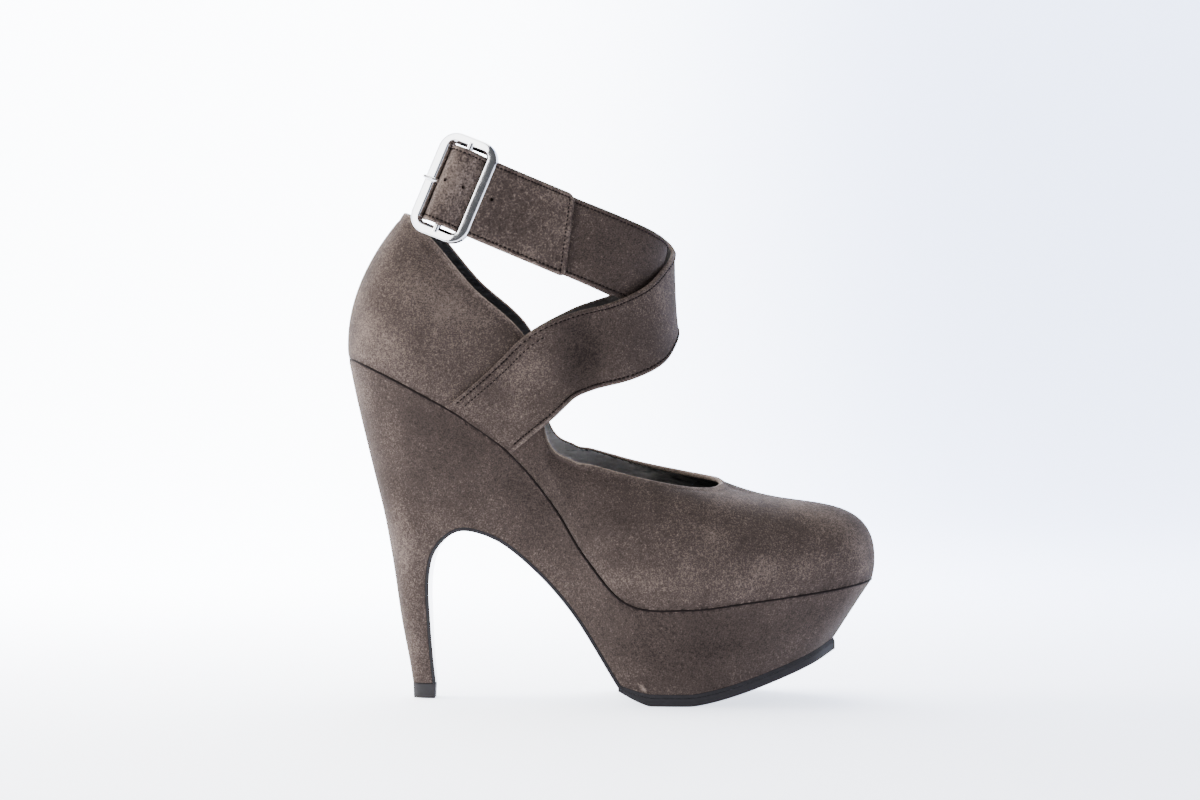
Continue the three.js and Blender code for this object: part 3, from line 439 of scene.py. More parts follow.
class Loop:
    """The slanting frame of the ankle loop: forward, sideways, and up along the leg."""

    def __init__(self, last, sizes):
        self.tilt = sizes.loop_tilt
        self.half_length = sizes.loop_length / MM / 2
        self.half_width = sizes.loop_width / MM / 2
        self.thick = sizes.strap_thickness / MM
        self.ahead = np.array([math.cos(self.tilt), 0, -math.sin(self.tilt)])
        self.up = np.array([math.sin(self.tilt), 0, math.cos(self.tilt)])
        back = last.topline(np.array(0.0))
        self.middle = np.array([back[0] + 61.7, 0, back[2] - 8.2])
        self.buckle_forward = -0.768 * self.half_length
        self.buckle_side = -0.985 * self.half_width
        self.turn = math.radians(20)

    def point(self, forward, side, up):
        """The middle moved forward and up along the loop's directions, with side as Y."""
        forward, side, up = np.broadcast_arrays(*map(np.asarray, (forward, side, up)))
        point = (self.middle + forward[..., None] * self.ahead + up[..., None] * self.up)
        point[..., 1] = side
        return point

    def local(self, point):
        """How far a point lies forward, sideways and up in the loop."""
        offset = point - self.middle
        return offset @ self.ahead, point[..., 1], offset @ self.up

    def at_buckle(self, reach, lift, up=0.0):
        """Point beside the buckle: reach along the strap, lift out of the buckle's plane."""
        cos, sin = math.cos(self.turn), math.sin(self.turn)
        forward = self.buckle_forward + reach * cos - lift * sin
        side = self.buckle_side - reach * sin - lift * cos
        return self.point(forward, side, up)


class Buckle:
    """Sizes of the buckle and of the way of the straps through it, in millimetres."""

    def __init__(self, sizes):
        thick = sizes.strap_thickness / MM
        self.length = sizes.buckle_length / MM
        self.width = sizes.buckle_width / MM
        self.bar = 5.0
        self.side_bar = 4.6
        self.inner_corner = 1.2
        self.corner = 8.0
        self.thick = 3.0
        self.centre_bar = 1.4
        self.prong = 1.0
        self.under = self.thick / 2 + GAP + thick / 2
        self.eye = self.centre_bar + GAP + thick / 2
        self.layer = thick + 2 * GAP
        self.prong_rise = -self.length / 2 + self.bar + self.prong + GAP


def climb_points(last, loop, side, rows, front, rise):
    """Points from the seam up to the front of the loop."""
    foot = last.outer(side_place(STRAP_FOOT_ROW, side), 0.0)
    forward, across, up = loop.local(foot)
    ahead, climb, wide = np.array(rows).T
    climbing = loop.point(forward + (front - forward) * ahead, side * wide * loop.half_width,
                          up + (rise - up) * climb)
    return [loop.point(forward, across, up)[None], climbing]


def lateral_route(last, loop, buckle, width):
    """Centre line of the lateral strap: seam, instep, round the ankle, buckle, tail."""
    half, wide = loop.half_length - loop.thick / 2, loop.half_width - loop.thick / 2
    forward, side, up = np.array(LATERAL_LOOP).T
    level = loop.point(forward * half, side * wide, up * width)
    over = buckle.eye + buckle.layer
    crown = np.radians([155, 120, 90, 60, 25])
    outer, inner = buckle.length / 2, buckle.length / 2 - buckle.bar + GAP
    reach = np.concatenate([[-outer, -inner], over * np.cos(crown), [inner, outer]])
    lift = np.concatenate([[-buckle.under - 2 * GAP, -buckle.under - GAP / 2],
                           over * np.sin(crown), [-buckle.under, -buckle.under]])
    forward, side = np.array(TAIL).T
    tail = loop.point(forward * half, -side * wide, 0)
    climbing = climb_points(last, loop, -1, LATERAL_CLIMB, half, LATERAL_LOOP[0][2] * width)
    return np.concatenate([*climbing, level, loop.at_buckle(reach, lift), tail])


def medial_route(last, loop, buckle, width):
    """Centre line of the medial strap: seam, instep, outer side, eye round the bar."""
    half = loop.half_length - loop.thick * 1.5 - 4
    wide = loop.half_width - loop.thick / 2
    forward, side, up = np.array(MEDIAL_LOOP).T
    level = loop.point(forward * half, -side * wide, up * width)
    turn = np.linspace(0, 1.4, 8) * math.pi
    inner = buckle.length / 2 - buckle.bar + GAP
    reach = np.concatenate([[buckle.length / 2, inner, 2 * buckle.eye],
                            -buckle.eye * np.sin(turn)])
    lift = np.concatenate([[-buckle.under - buckle.layer] * 2, [-buckle.eye - loop.thick / 2],
                           -buckle.eye * np.cos(turn)])
    climbing = climb_points(last, loop, 1, MEDIAL_CLIMB, half, MEDIAL_LOOP[0][2] * width)
    return np.concatenate([*climbing, level, loop.at_buckle(reach, lift)])


def nearest_on_upper(last, point, side):
    """Point of the outer face nearest in side view, by a search whose steps halve."""
    target = point[..., None, [0, 2]]
    rows, rises = (grid.ravel() for grid in np.meshgrid(np.linspace(2, 8, 13),
                                                        np.linspace(0, 1, 9)))
    row = np.broadcast_to(rows, point.shape[:-1] + rows.shape)
    rise = np.broadcast_to(rises, row.shape)
    row_step, rise_step = 0.5, 0.125
    around = np.array([(a, b) for a in (-1, 0, 1) for b in (-1, 0, 1)], dtype=float).T
    for _ in range(6):
        near = last.outer(side_place(row, side), rise)[..., [0, 2]]
        best = np.argmin(((near - target) ** 2).sum(axis=-1), axis=-1)[..., None]
        best_row = np.take_along_axis(row, best, axis=-1)
        best_rise = np.take_along_axis(rise, best, axis=-1)
        row_step, rise_step = row_step / 2, rise_step / 2
        row = best_row + around[0] * row_step
        rise = np.clip(best_rise + around[1] * rise_step, 0, 1)
    return last.outer(side_place(best_row[..., 0], side), best_rise[..., 0])


def blur(values, along, across):
    """Values softened by a Gaussian of those widths, in grid steps, along and across."""
    for axis, sigma in ((0, along), (1, across)):
        reach = int(3 * sigma) + 1
        kernel = np.exp(-0.5 * (np.arange(-reach, reach + 1) / sigma) ** 2)
        kernel /= kernel.sum()
        pad = [(reach, reach) if axis == index else (0, 0) for index in (0, 1)]
        padded = np.pad(values, pad, mode="reflect", reflect_type="odd")
        values = sum(weight * np.take(padded, range(step, step + values.shape[axis]), axis=axis)
                     for step, weight in enumerate(kernel))
    return values


class Strap:
    """A band along a smooth centre line, its width square to the line.

    The width leans with the leg at the back and stands upright at the front."""

    def __init__(self, last, loop, points, width, side, upright, tail_slant):
        self.last, self.loop, self.points = last, loop, points
        self.width, self.side, self.upright = width, side, upright
        self.tail_slant = tail_slant
        self.places = np.linspace(0, len(points) - 1, 6001)
        self.line = centripetal_point(points, self.places)
        self.walked = np.concatenate([[0], np.cumsum(
            np.linalg.norm(np.diff(self.line, axis=0), axis=1))])
        self.length = self.walked[-1]

    def nearest(self, point):
        """Distance along the strap of the point of its centre line nearest to a point."""
        return self.walked[np.argmin(((self.line - point) ** 2).sum(axis=-1))]

    def frame(self, distance):
        """Point of the centre line and the directions along, across and outwards there.
        Across is a leaning guide line, less its share along the strap."""
        inside = np.clip(distance, 0, self.length)
        place = np.interp(inside, self.walked, self.places)
        point = centripetal_point(self.points, place)
        step = (centripetal_point(self.points, np.minimum(place + 0.002, len(self.points) - 1))
                - centripetal_point(self.points, np.maximum(place - 0.002, 0)))
        tangent = unit(step)
        point = point + tangent * (distance - inside)[..., None]
        forward = self.loop.local(point)[0]
        ahead = (forward / self.loop.half_length - 0.3) / 0.7
        lean = self.loop.tilt * (1 - smooth_step(ahead) * self.upright)
        guide = np.stack([np.sin(lean), 0 * lean, np.cos(lean)], axis=-1)
        across = unit(guide - tangent * (guide * tangent).sum(axis=-1, keepdims=True))
        return point, tangent, across, np.cross(tangent, across) * -self.side

    def shift(self, distance, across):
        """How far a point is moved along the strap: the foot follows the seam, the tail is
        cut on a slant, and its corners are rounded."""
        _, tangent, wide, _ = self.frame(np.array(0.0))
        place = side_place(STRAP_FOOT_ROW, self.side)
        seam = self.last.feather(place + 0.1) - self.last.feather(place - 0.1)

        def cross(a, b):
            return a[0] * b[2] - a[2] * b[0]
        foot = -across * self.width * cross(wide, seam) / cross(tangent, seam)
        foot_fade = 1 - smooth_step(distance / (1.5 * self.width))
        left = self.length - distance
        tail = -across * self.tail_slant * (1 - smooth_step(left / self.width))
        corner = 3.0
        over = np.clip(np.abs(across) * self.width - (self.width / 2 - corner), 0, corner)
        cut = corner - np.sqrt(corner ** 2 - np.minimum(over, corner * 0.999) ** 2)
        rounded = cut * (1 - smooth_step(left / 10)) * (self.tail_slant > 0)
        return foot * foot_fade + tail - rounded

    def surface(self, distance, across, lift):
        """Points at distance along, across from -0.5 to 0.5, and lift outwards."""
        point, _, wide, outward = self.frame(distance + self.shift(distance, across))
        point = point + wide * (across * self.width)[..., None]
        return point + outward * lift[..., None], outward

    def laid(self, distance, across):
        """How far the band is moved sideways so that its foot lies flat on the upper and the
        rest of it stays clear, softened."""
        point, _ = self.surface(distance, across, 0 * distance)
        under = nearest_on_upper(self.last, point, self.side)
        apart = np.hypot(*(point - under)[..., [0, 2]].T).T
        near = 1 - smooth_step(apart / 14)
        wanted = np.abs(under[..., 1]) + self.loop.thick / 2 + 1.5 * GAP
        short = wanted - np.abs(point[..., 1])
        held = 1 - smooth_step((distance / self.width - FOOT_HELD) / FOOT_RELEASE)
        moved = short * near * np.where(short > 0, distance < 3 * self.width, held)
        return blur(moved, 4, 2)


def bumps(rows, along, across):
    """Sum of soft bumps, each high * exp(-(u / long)^2 - (v / wide)^2), where u and v
    are measured from its middle along and across the direction it is turned to."""
    total = np.zeros(np.broadcast(along, across).shape)
    for middle, off, turn, long, wide, high in rows:
        cos, sin = math.cos(math.radians(turn)), math.sin(math.radians(turn))
        u = (along - middle) * cos + (across - off) * sin
        v = (across - off) * cos - (along - middle) * sin
        total = total + high * np.exp(-(u / long) ** 2 - (v / wide) ** 2)
    return total


def grid_faces(rows, columns, close_rows, close_columns):
    """Quads of a grid whose points are numbered row by row."""
    r, c = np.meshgrid(np.arange(rows if close_rows else rows - 1),
                       np.arange(columns if close_columns else columns - 1), indexing="ij")
    r2, c2 = (r + 1) % rows, (c + 1) % columns
    return np.stack([r * columns + c, r2 * columns + c, r2 * columns + c2,
                     r * columns + c2], axis=-1).reshape(-1, 4)


def grid(points, material=0, tone=0.0, close_rows=False, close_columns=False):
    """One patch of a piece: its points, material index, tone and which ways it closes."""
    rows, columns = points.shape[:2]
    faces = grid_faces(rows, columns, close_rows, close_columns)
    tones = np.broadcast_to(tone, (rows, columns)).reshape(-1)
    return points.reshape(-1, 3), faces, material, tones


def build_piece(name, patches, materials, node=None, sharp=35, merge=0.004):
    starts = np.cumsum([0] + [len(patch[0]) for patch in patches])
    points = np.concatenate([patch[0] for patch in patches]) * MM
    faces = np.concatenate([patch[1] + start for patch, start in zip(patches, starts)])
    index = np.concatenate([np.full(len(patch[1]), patch[2]) for patch in patches])
    tones = np.concatenate([patch[3] for patch in patches])
    mesh = bpy.data.meshes.new(name)
    mesh.vertices.add(len(points))
    mesh.vertices.foreach_set("co", points.astype(np.float32).ravel())
    mesh.loops.add(faces.size)
    mesh.loops.foreach_set("vertex_index", faces.astype(np.int32).ravel())
    mesh.polygons.add(len(faces))
    mesh.polygons.foreach_set("loop_start", np.arange(0, faces.size, 4, dtype=np.int32))
    mesh.polygons.foreach_set("material_index", index.astype(np.int32))
    mesh.attributes.new("tone", "FLOAT", "POINT").data.foreach_set(
        "value", tones.astype(np.float32))
    mesh.update(calc_edges=True)
    work = bmesh.new()
    work.from_mesh(mesh)
    bmesh.ops.remove_doubles(work, verts=work.verts, dist=merge * MM)
    bmesh.ops.dissolve_degenerate(work, edges=work.edges, dist=merge * MM * 0.2)
    bmesh.ops.recalc_face_normals(work, faces=work.faces)
    work.to_mesh(mesh)
    work.free()
    for material in materials:
        mesh.materials.append(material)
    return declare(bpy.data.objects.new(name, mesh), node, sharp)


def declare(piece, node=None, sharp=35):
    """Links a piece, shades it smooth up to an angle, and puts it on the frame."""
    bpy.context.scene.collection.objects.link(piece)
    piece.data.polygons.foreach_set("use_smooth", np.ones(len(piece.data.polygons), bool))
    piece.data.set_sharp_from_angle(angle=math.radians(sharp))
    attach(piece, "root")
    if node:
        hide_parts(node)
    return piece


def cut_holes(piece, centres, axes, radius, depth):
    """Cuts round holes through a piece with an exact boolean, then applies it."""
    angles = np.linspace(0, 2 * math.pi, 16, endpoint=False)
    circle = np.stack([np.cos(angles), np.sin(angles)], axis=-1)
    work = bmesh.new()
    for centre, (right, up, out) in zip(centres, axes):
        around = circle[:, :1] * right + circle[:, 1:] * up
        low = [work.verts.new(Vector((centre + p * radius - out * depth) * MM)) for p in around]
        high = [work.verts.new(Vector((centre + p * radius + out * depth) * MM)) for p in around]
        work.faces.new(low)
        work.faces.new(high)
        for i in range(16):
            j = (i + 1) % 16
            work.faces.new((low[i], low[j], high[j], high[i]))
    bmesh.ops.recalc_face_normals(work, faces=work.faces)
    mesh = bpy.data.meshes.new("cutter")
    work.to_mesh(mesh)
    work.free()
    cutter = bpy.data.objects.new("cutter", mesh)
    bpy.context.scene.collection.objects.link(cutter)
    modifier = piece.modifiers.new("holes", "BOOLEAN")
    modifier.operation = "DIFFERENCE"
    modifier.solver = "EXACT"
    modifier.object = cutter
    evaluated = piece.evaluated_get(bpy.context.evaluated_depsgraph_get())
    cut = bpy.data.meshes.new_from_object(evaluated)
    piece.modifiers.clear()
    old = piece.data
    piece.data = cut
    cut.name = piece.name
    bpy.data.meshes.remove(old)
    bpy.data.objects.remove(cutter)
    bpy.data.meshes.remove(mesh)


def threads(name, centres, tangents, outwards, material, length, radius):
    """Stitches as one piece: capsules of six sides whose ends dip into the surface."""
    around = np.linspace(0, 2 * math.pi, 6, endpoint=False)
    along = np.array([-0.5, -0.3, 0.0, 0.3, 0.5]) * length
    thick = np.array([0.35, 0.9, 1.0, 0.9, 0.35]) * radius
    dip = np.array([-1.1, -0.1, 0.1, -0.1, -1.1]) * radius
    side = np.cross(tangents, outwards)
    ring_out = dip[:, None] + thick[:, None] * np.sin(around)
    ring_side = thick[:, None] * np.cos(around)
    points = (centres[:, None, None] + tangents[:, None, None] * along[None, :, None, None]
              + outwards[:, None, None] * ring_out[None, ..., None]
              + side[:, None, None] * ring_side[None, ..., None])
    count, per = len(centres), 5 * 6
    faces = grid_faces(5, 6, False, True)
    caps = np.array([[0, 1, 2, 3], [0, 3, 4, 5], [24, 25, 26, 27], [24, 27, 28, 29]])
    faces = np.concatenate([faces, caps])
    faces = (faces[None] + (np.arange(count) * per)[:, None, None]).reshape(-1, 4)
    patch = (points.reshape(-1, 3), faces, 0, np.zeros(count * per))
    return build_piece(name, [patch], [material], sharp=60, merge=0.0005)


def linear(colour):
    """An sRGB hex colour as linear values with alpha 1."""
    parts = [int(colour[i:i + 2], 16) / 255 for i in (1, 3, 5)]
    return [p / 12.92 if p <= 0.04045 else ((p + 0.055) / 1.055) ** 2.4 for p in parts] + [1.0]


def add(tree, kind, inputs=None, stops=(), **settings):
    """Adds a node with its settings. Each input is a value, an output, or a node whose
    first output it takes. Stops are the (position, linear colour) of a colour ramp."""
    node = tree.nodes.new(kind)
    for key, value in settings.items():
        setattr(node, key, value)
    for key, value in (inputs or {}).items():
        if isinstance(value, bpy.types.Node):
            value = value.outputs[0]
        if isinstance(value, bpy.types.NodeSocket):
            tree.links.new(value, node.inputs[key])
        else:
            node.inputs[key].default_value = value
    elements = node.color_ramp.elements if stops else ()
    while len(elements) < len(stops):
        elements.new(0.5)
    for element, (position, colour) in zip(elements, stops):
        element.position, element.color = position, tuple(colour)
    return node


def weighted(tree, start, terms):
    """Start plus the sum of (value - centre) * weight over the terms."""
    total = start - sum(centre * weight for _, centre, weight in terms)
    for value, _, weight in terms:
        total = add(tree, "ShaderNodeMath", {0: value, 1: weight, 2: total},
                    operation="MULTIPLY_ADD")
    return total


def new_material(name):
    """An empty material, its tree, and the place in it in the piece's own coordinates."""
    material = bpy.data.materials.new(name)
    material.use_nodes = True
    tree = material.node_tree
    tree.nodes.clear()
    return material, tree, add(tree, "ShaderNodeTexCoord").outputs["Object"]


def shade(material, values):
    """Ends a material with its shader, which takes these values and links."""
    shader = add(material.node_tree, "ShaderNodeBsdfPrincipled", values)
    add(material.node_tree, "ShaderNodeOutputMaterial", {"Surface": shader})
    return material


def suede(name, colours, coarse=1.0):
    """Split suede, buffed on its flesh side: a matt nap of short fibres that lie in
    brushed patches, so it looks mottled, with a soft light rim and almost no shine.
    Real fibres are finer than the 0.55 mm drawn here, which is what the camera can show."""
    material, tree, place = new_material(name)
    wander = add(tree, "ShaderNodeTexNoise", {"Vector": place, "Scale": 1 / (3 * MM)})
    bend = add(tree, "ShaderNodeVectorMath",
               {0: wander.outputs["Color"], "Scale": 1.2 * MM * coarse}, operation="SCALE")
    swirl = add(tree, "ShaderNodeVectorMath", {0: place, 1: bend}, operation="ADD")
    # Columns: where it is read, size in mm, detail, roughness.
    fibres, nap, brushed, patches = (
        add(tree, "ShaderNodeTexNoise", {"Vector": at, "Scale": 1 / (size * MM),
                                         "Detail": detail, "Roughness": rough})
        for at, size, detail, rough in ((swirl, 0.55 * coarse, 2.0, 0.6),
                                        (swirl, 1.6 * coarse, 3.0, 0.6),
                                        (place, 11, 2.0, 0.5), (place, 32, 1.0, 0.4)))
    # The tone attribute brings each piece's patches of nap and also its painted shade and painted
    # highlights.
    tone = add(tree, "ShaderNodeAttribute", attribute_name="tone").outputs["Fac"]
    value = weighted(tree, 0.5, [(fibres, 0.5, 1.15), (nap, 0.5, 0.4 * coarse),
                                 (brushed, 0.5, 0.3), (patches, 0.5, 0.25), (tone, 0.0, 0.35)])
    colour = add(tree, "ShaderNodeValToRGB", {"Fac": value},
                 [(0.0, colours.nap_deep), (0.5, colours.nap), (1.0, colours.nap_light)])
    height = weighted(tree, 0.5, [(fibres, 0.5, 1.0), (nap, 0.5, 0.8)])
    relief = add(tree, "ShaderNodeBump", {"Height": height, "Distance": 0.35 * MM * coarse,
                                          "Strength": 0.6})
    return shade(material, {
        "Roughness": 0.95, "Specular IOR Level": 0.12, "Sheen Weight": 0.12,
        "Sheen Roughness": 0.4, "Sheen Tint": tuple(colours.nap_light),
        "Base Color": colour, "Normal": relief})


def lining_leather(name, colours, gloss, creased=1.0):
    """Pigmented lining leather, glued to the suede: smooth and semi-gloss, with soft
    wrinkles about 4 mm apart, and pale grey painted along the wrinkles where its tone
    is raised: painted highlights."""
    material, tree, place = new_material(name)
    pulled = add(tree, "ShaderNodeMapping", {"Vector": place, "Scale": (0.22, 1.0, 1.3)})
    wrinkles = add(tree, "ShaderNodeTexNoise", {"Vector": pulled, "Scale": 1 / (4 * MM),
                                                "Detail": 4.0, "Roughness": 0.65})
    painted_sheen = add(tree, "ShaderNodeAttribute", attribute_name="tone").outputs["Fac"]
    # Painted highlight: pale grey along the wrinkles, as far as the tone attribute is raised.
    rubbed = add(tree, "ShaderNodeMath",
                 {0: painted_sheen, 1: weighted(tree, 0.7, [(wrinkles, 0.5, 3.2)])}, operation="MULTIPLY")
    colour = add(tree, "ShaderNodeValToRGB", {"Fac": rubbed},
                 [(0.0, colours.lining), (1.0, colours.lining_highlight)])
    relief = add(tree, "ShaderNodeBump", {"Height": wrinkles, "Distance": 2.4 * MM,
                                          "Strength": 0.8 * creased})
    return shade(material, {"Roughness": 0.75 - 0.6 * gloss, "Specular IOR Level": gloss,
                            "Base Color": colour, "Normal": relief})


def cover_leather(colours):
    """Lacquered sole leather: dark and glossy, so it mirrors the pale floor at a low angle,
    with fine scratches along it from wear."""
    material, tree, place = new_material("lacquered sole leather")
    drawn_out = add(tree, "ShaderNodeMapping", {"Vector": place, "Scale": (0.2, 1.6, 0.2)})
    scratches = add(tree, "ShaderNodeTexNoise", {"Vector": drawn_out, "Scale": 1 / (0.8 * MM),
                                                 "Detail": 3.0, "Roughness": 0.7})
    relief = add(tree, "ShaderNodeBump", {"Height": scratches, "Distance": 0.05 * MM,
                                          "Strength": 0.5})
    return shade(material, {
        "Specular IOR Level": 0.6, "Coat Weight": 0.6, "Coat Roughness": 0.12,
        "Base Color": tuple(colours.cover), "Normal": relief,
        "Roughness": weighted(tree, 0.24, [(scratches, 0.5, 0.25)])})


def rubber(name, dark, dusty):
    """Moulded rubber: matt, dark and even, with a pebbled skin of 0.5 mm and patches of
    dust about 9 mm across."""
    material, tree, place = new_material(name)
    pebble = add(tree, "ShaderNodeTexNoise", {"Vector": place, "Scale": 1 / (0.5 * MM)})
    dust = add(tree, "ShaderNodeTexNoise", {"Vector": place, "Scale": 1 / (9 * MM),
                                            "Roughness": 0.6})
    value = weighted(tree, 0.5, [(dust, 0.5, 0.8), (pebble, 0.5, 0.3)])
    colour = add(tree, "ShaderNodeValToRGB", {"Fac": value}, [(0.0, dark), (1.0, dusty)])
    relief = add(tree, "ShaderNodeBump", {"Height": pebble, "Distance": 0.08 * MM,
                                          "Strength": 0.6})
    return shade(material, {"Specular IOR Level": 0.12, "Base Color": colour, "Normal": relief,
                            "Roughness": weighted(tree, 0.75, [(dust, 0.5, 0.3)])})


def nickel_plate(colours):
    """Zinc alloy, cast, polished and nickel plated: a bright mirror with faint clouding."""
    material, tree, place = new_material("polished nickel plate")
    cloud = add(tree, "ShaderNodeTexNoise", {"Vector": place, "Scale": 1 / (2.5 * MM),
                                             "Detail": 3.0, "Roughness": 0.7})
    relief = add(tree, "ShaderNodeBump", {"Height": cloud, "Distance": 0.05 * MM,
                                          "Strength": 0.4})
    return shade(material, {"Metallic": 1.0, "Base Color": tuple(colours.metal),
                            "Normal": relief,
                            "Roughness": weighted(tree, 0.12, [(cloud, 0.5, 0.2)])})


def waxed_thread(colours):
    """Twisted polyester thread, waxed: dark, with a dull shine and a twist of 0.4 mm.
    It also dresses the dark tube of painted shadow in the seam.
    """
    material, tree, place = new_material("waxed thread")
    twist = add(tree, "ShaderNodeTexNoise", {"Vector": place, "Scale": 1 / (0.4 * MM)})
    relief = add(tree, "ShaderNodeBump", {"Height": twist, "Distance": 0.1 * MM,
                                          "Strength": 0.6})
    return shade(material, {"Roughness": 0.8, "Specular IOR Level": 0.05,
                            "Base Color": tuple(colours.thread), "Normal": relief})


def edge_suede(colours):
    """The cut edge of split leather, rubbed pale: open fibres with no nap."""
    material, tree, place = new_material("cut edge of suede")
    fibres = add(tree, "ShaderNodeTexNoise", {"Vector": place, "Scale": 1 / (0.7 * MM),
                                              "Detail": 3.0, "Roughness": 0.7})
    colour = add(tree, "ShaderNodeValToRGB", {"Fac": fibres},
                 [(0.25, colours.nap), (0.75, colours.raw_edge)])
    relief = add(tree, "ShaderNodeBump", {"Height": fibres, "Distance": 0.3 * MM,
                                          "Strength": 0.7})
    return shade(material, {"Roughness": 0.9, "Specular IOR Level": 0.2,
                            "Base Color": colour, "Normal": relief})


def studio_paper(colours):
    """Seamless translucent sheet, lit from behind more and more towards its back and
    towards the heel side: matt, and near white."""
    material, tree, place = new_material("studio paper")
    axes = add(tree, "ShaderNodeSeparateXYZ", {"Vector": place}).outputs
    # Columns: axis, its range in metres, and what the range gives.
    front, back, side, blue = (
        add(tree, "ShaderNodeMapRange", {"Value": axes[axis], "From Min": start,
                                         "From Max": end, "To Min": low, "To Max": high},
            interpolation_type="SMOOTHSTEP")
        for axis, start, end, low, high in (
            ("Y", -0.36, -0.24, 0.1, 1.0), ("Y", -0.2, 0.7, 2.0, 8.0),
            ("X", -0.25, 0.6, 1.2, 0.5), ("X", -0.05, 0.5, 0.0, 1.0)))
    cool = add(tree, "ShaderNodeValToRGB", {"Fac": blue},
               [(0.0, colours.warm_glow), (1.0, colours.cool_glow)])
    glow = add(tree, "ShaderNodeMath", {0: back, 1: side}, operation="MULTIPLY")
    glow = add(tree, "ShaderNodeMath", {0: glow, 1: front}, operation="MULTIPLY")
    grain = add(tree, "ShaderNodeTexNoise", {"Vector": place, "Scale": 1 / (2 * MM)})
    relief = add(tree, "ShaderNodeBump", {"Height": grain, "Distance": 0.02 * MM,
                                          "Strength": 0.2})
    return shade(material, {
        "Roughness": 1.0, "Specular IOR Level": 0.0, "Base Color": tuple(colours.paper),
        "Emission Color": cool, "Emission Strength": glow, "Normal": relief})


class Kit:
    """Shapes and materials that the operators share, made from the settings."""
    ready = made_from = None

    def __init__(self, context):
        sizes, colours = context.scene.pump_sizes, context.scene.pump_colours
        self.last = Last(sizes)
        self.loop = Loop(self.last, sizes)
        self.buckle = Buckle(sizes)
        lateral_width = sizes.lateral_strap_width / MM
        medial_width = sizes.medial_strap_width / MM
        self.lateral = Strap(self.last, self.loop,
                             lateral_route(self.last, self.loop, self.buckle, lateral_width),
                             lateral_width, -1, 1.1, 9.0)
        self.medial = Strap(self.last, self.loop,
                            medial_route(self.last, self.loop, self.buckle, medial_width),
                            medial_width, 1, 0.55, 0.0)
        self.suede = suede("buffed suede", colours)
        self.coarse_suede = suede("crinkled suede", colours, 1.45)
        self.edge = edge_suede(colours)
        self.lining = lining_leather("glossy lining leather", colours, 0.6)
        self.strap_lining = lining_leather("dull lining leather", colours, 0.05)
        self.insole = lining_leather("insole leather", colours, 0.35, 0.15)
        self.cover = cover_leather(colours)
        self.outsole = rubber("moulded outsole rubber", colours.outsole, colours.outsole_dust)
        self.tip = rubber("moulded heel tip rubber", colours.tip, colours.tip_dust)
        self.metal = nickel_plate(colours)
        self.thread = waxed_thread(colours)

    @classmethod
    def get(cls, context):
        groups = (context.scene.pump_sizes, context.scene.pump_colours)
        values = [getattr(group, name) for group in groups for name in group.__annotations__]
        present = [value if isinstance(value, float) else tuple(value) for value in values]
        if cls.made_from != present:
            cls.ready, cls.made_from = cls(context), present
        return cls.ready


# Soft bumps of the upper, on both faces. Columns: middle X, middle Z, turn in degrees,
# length, width and height in millimetres. Placed one by one from the photograph.
UPPER_CREASES = {
    -1: [(3, 176, -50, 10, 3, -0.35), (-8, 168, -70, 14, 5, 0.3), (62, 84, -40, 12, 4, -0.4),
         (74, 76, -30, 14, 4, 0.35), (120, 74, -12, 18, 5, -0.3), (146, 66, -35, 12, 5, -0.3)],
    1: [(3, 176, -50, 10, 3, -0.3), (62, 84, -40, 12, 4, -0.4), (74, 76, -30, 14, 4, 0.35),
        (120, 74, -12, 18, 5, -0.3), (146, 66, -35, 12, 5, -0.3)],
}

# Lighter (above 0) and darker patches of the upper's suede, in the same columns.
UPPER_TONES = {
    -1: [(-22, 152, -80, 26, 9, 0.3), (-10, 142, -30, 20, 9, 0.25), (20, 130, -35, 18, 8, -0.1),
         (10, 165, -60, 22, 14, 0.3), (92, 50, -5, 14, 4, 0.3), (142, 55, 8, 18, 4, 0.2),
         (129, 64, -20, 10, 6, -0.2), (118, 69, -25, 10, 5, 0.25), (107, 70, -35, 9, 6, -0.2),
         (158, 78, -25, 18, 6, 0.5), (178, 62, -70, 14, 5, 0.35), (60, 92, -45, 16, 5, -0.15),
         (126, 84, -20, 16, 5, 0.35), (152, 72, -20, 18, 6, -0.35), (58, 88, -45, 26, 14, -0.4)],
    1: [(-20, 150, -80, 24, 9, 0.3), (10, 135, -35, 20, 8, -0.2), (60, 80, -40, 16, 6, 0.2),
        (100, 60, -5, 18, 6, -0.2), (140, 58, 8, 18, 5, 0.2), (165, 66, -25, 12, 4, 0.3)],
}

# Where pale grey highlights are painted on the lining's wrinkles at the waist, in the same
# columns.
LINING_HIGHLIGHTS = {-1: [(60, 100, -40, 24, 8, 0.4)], 1: [(66, 97, -20, 30, 11, 2.6)]}

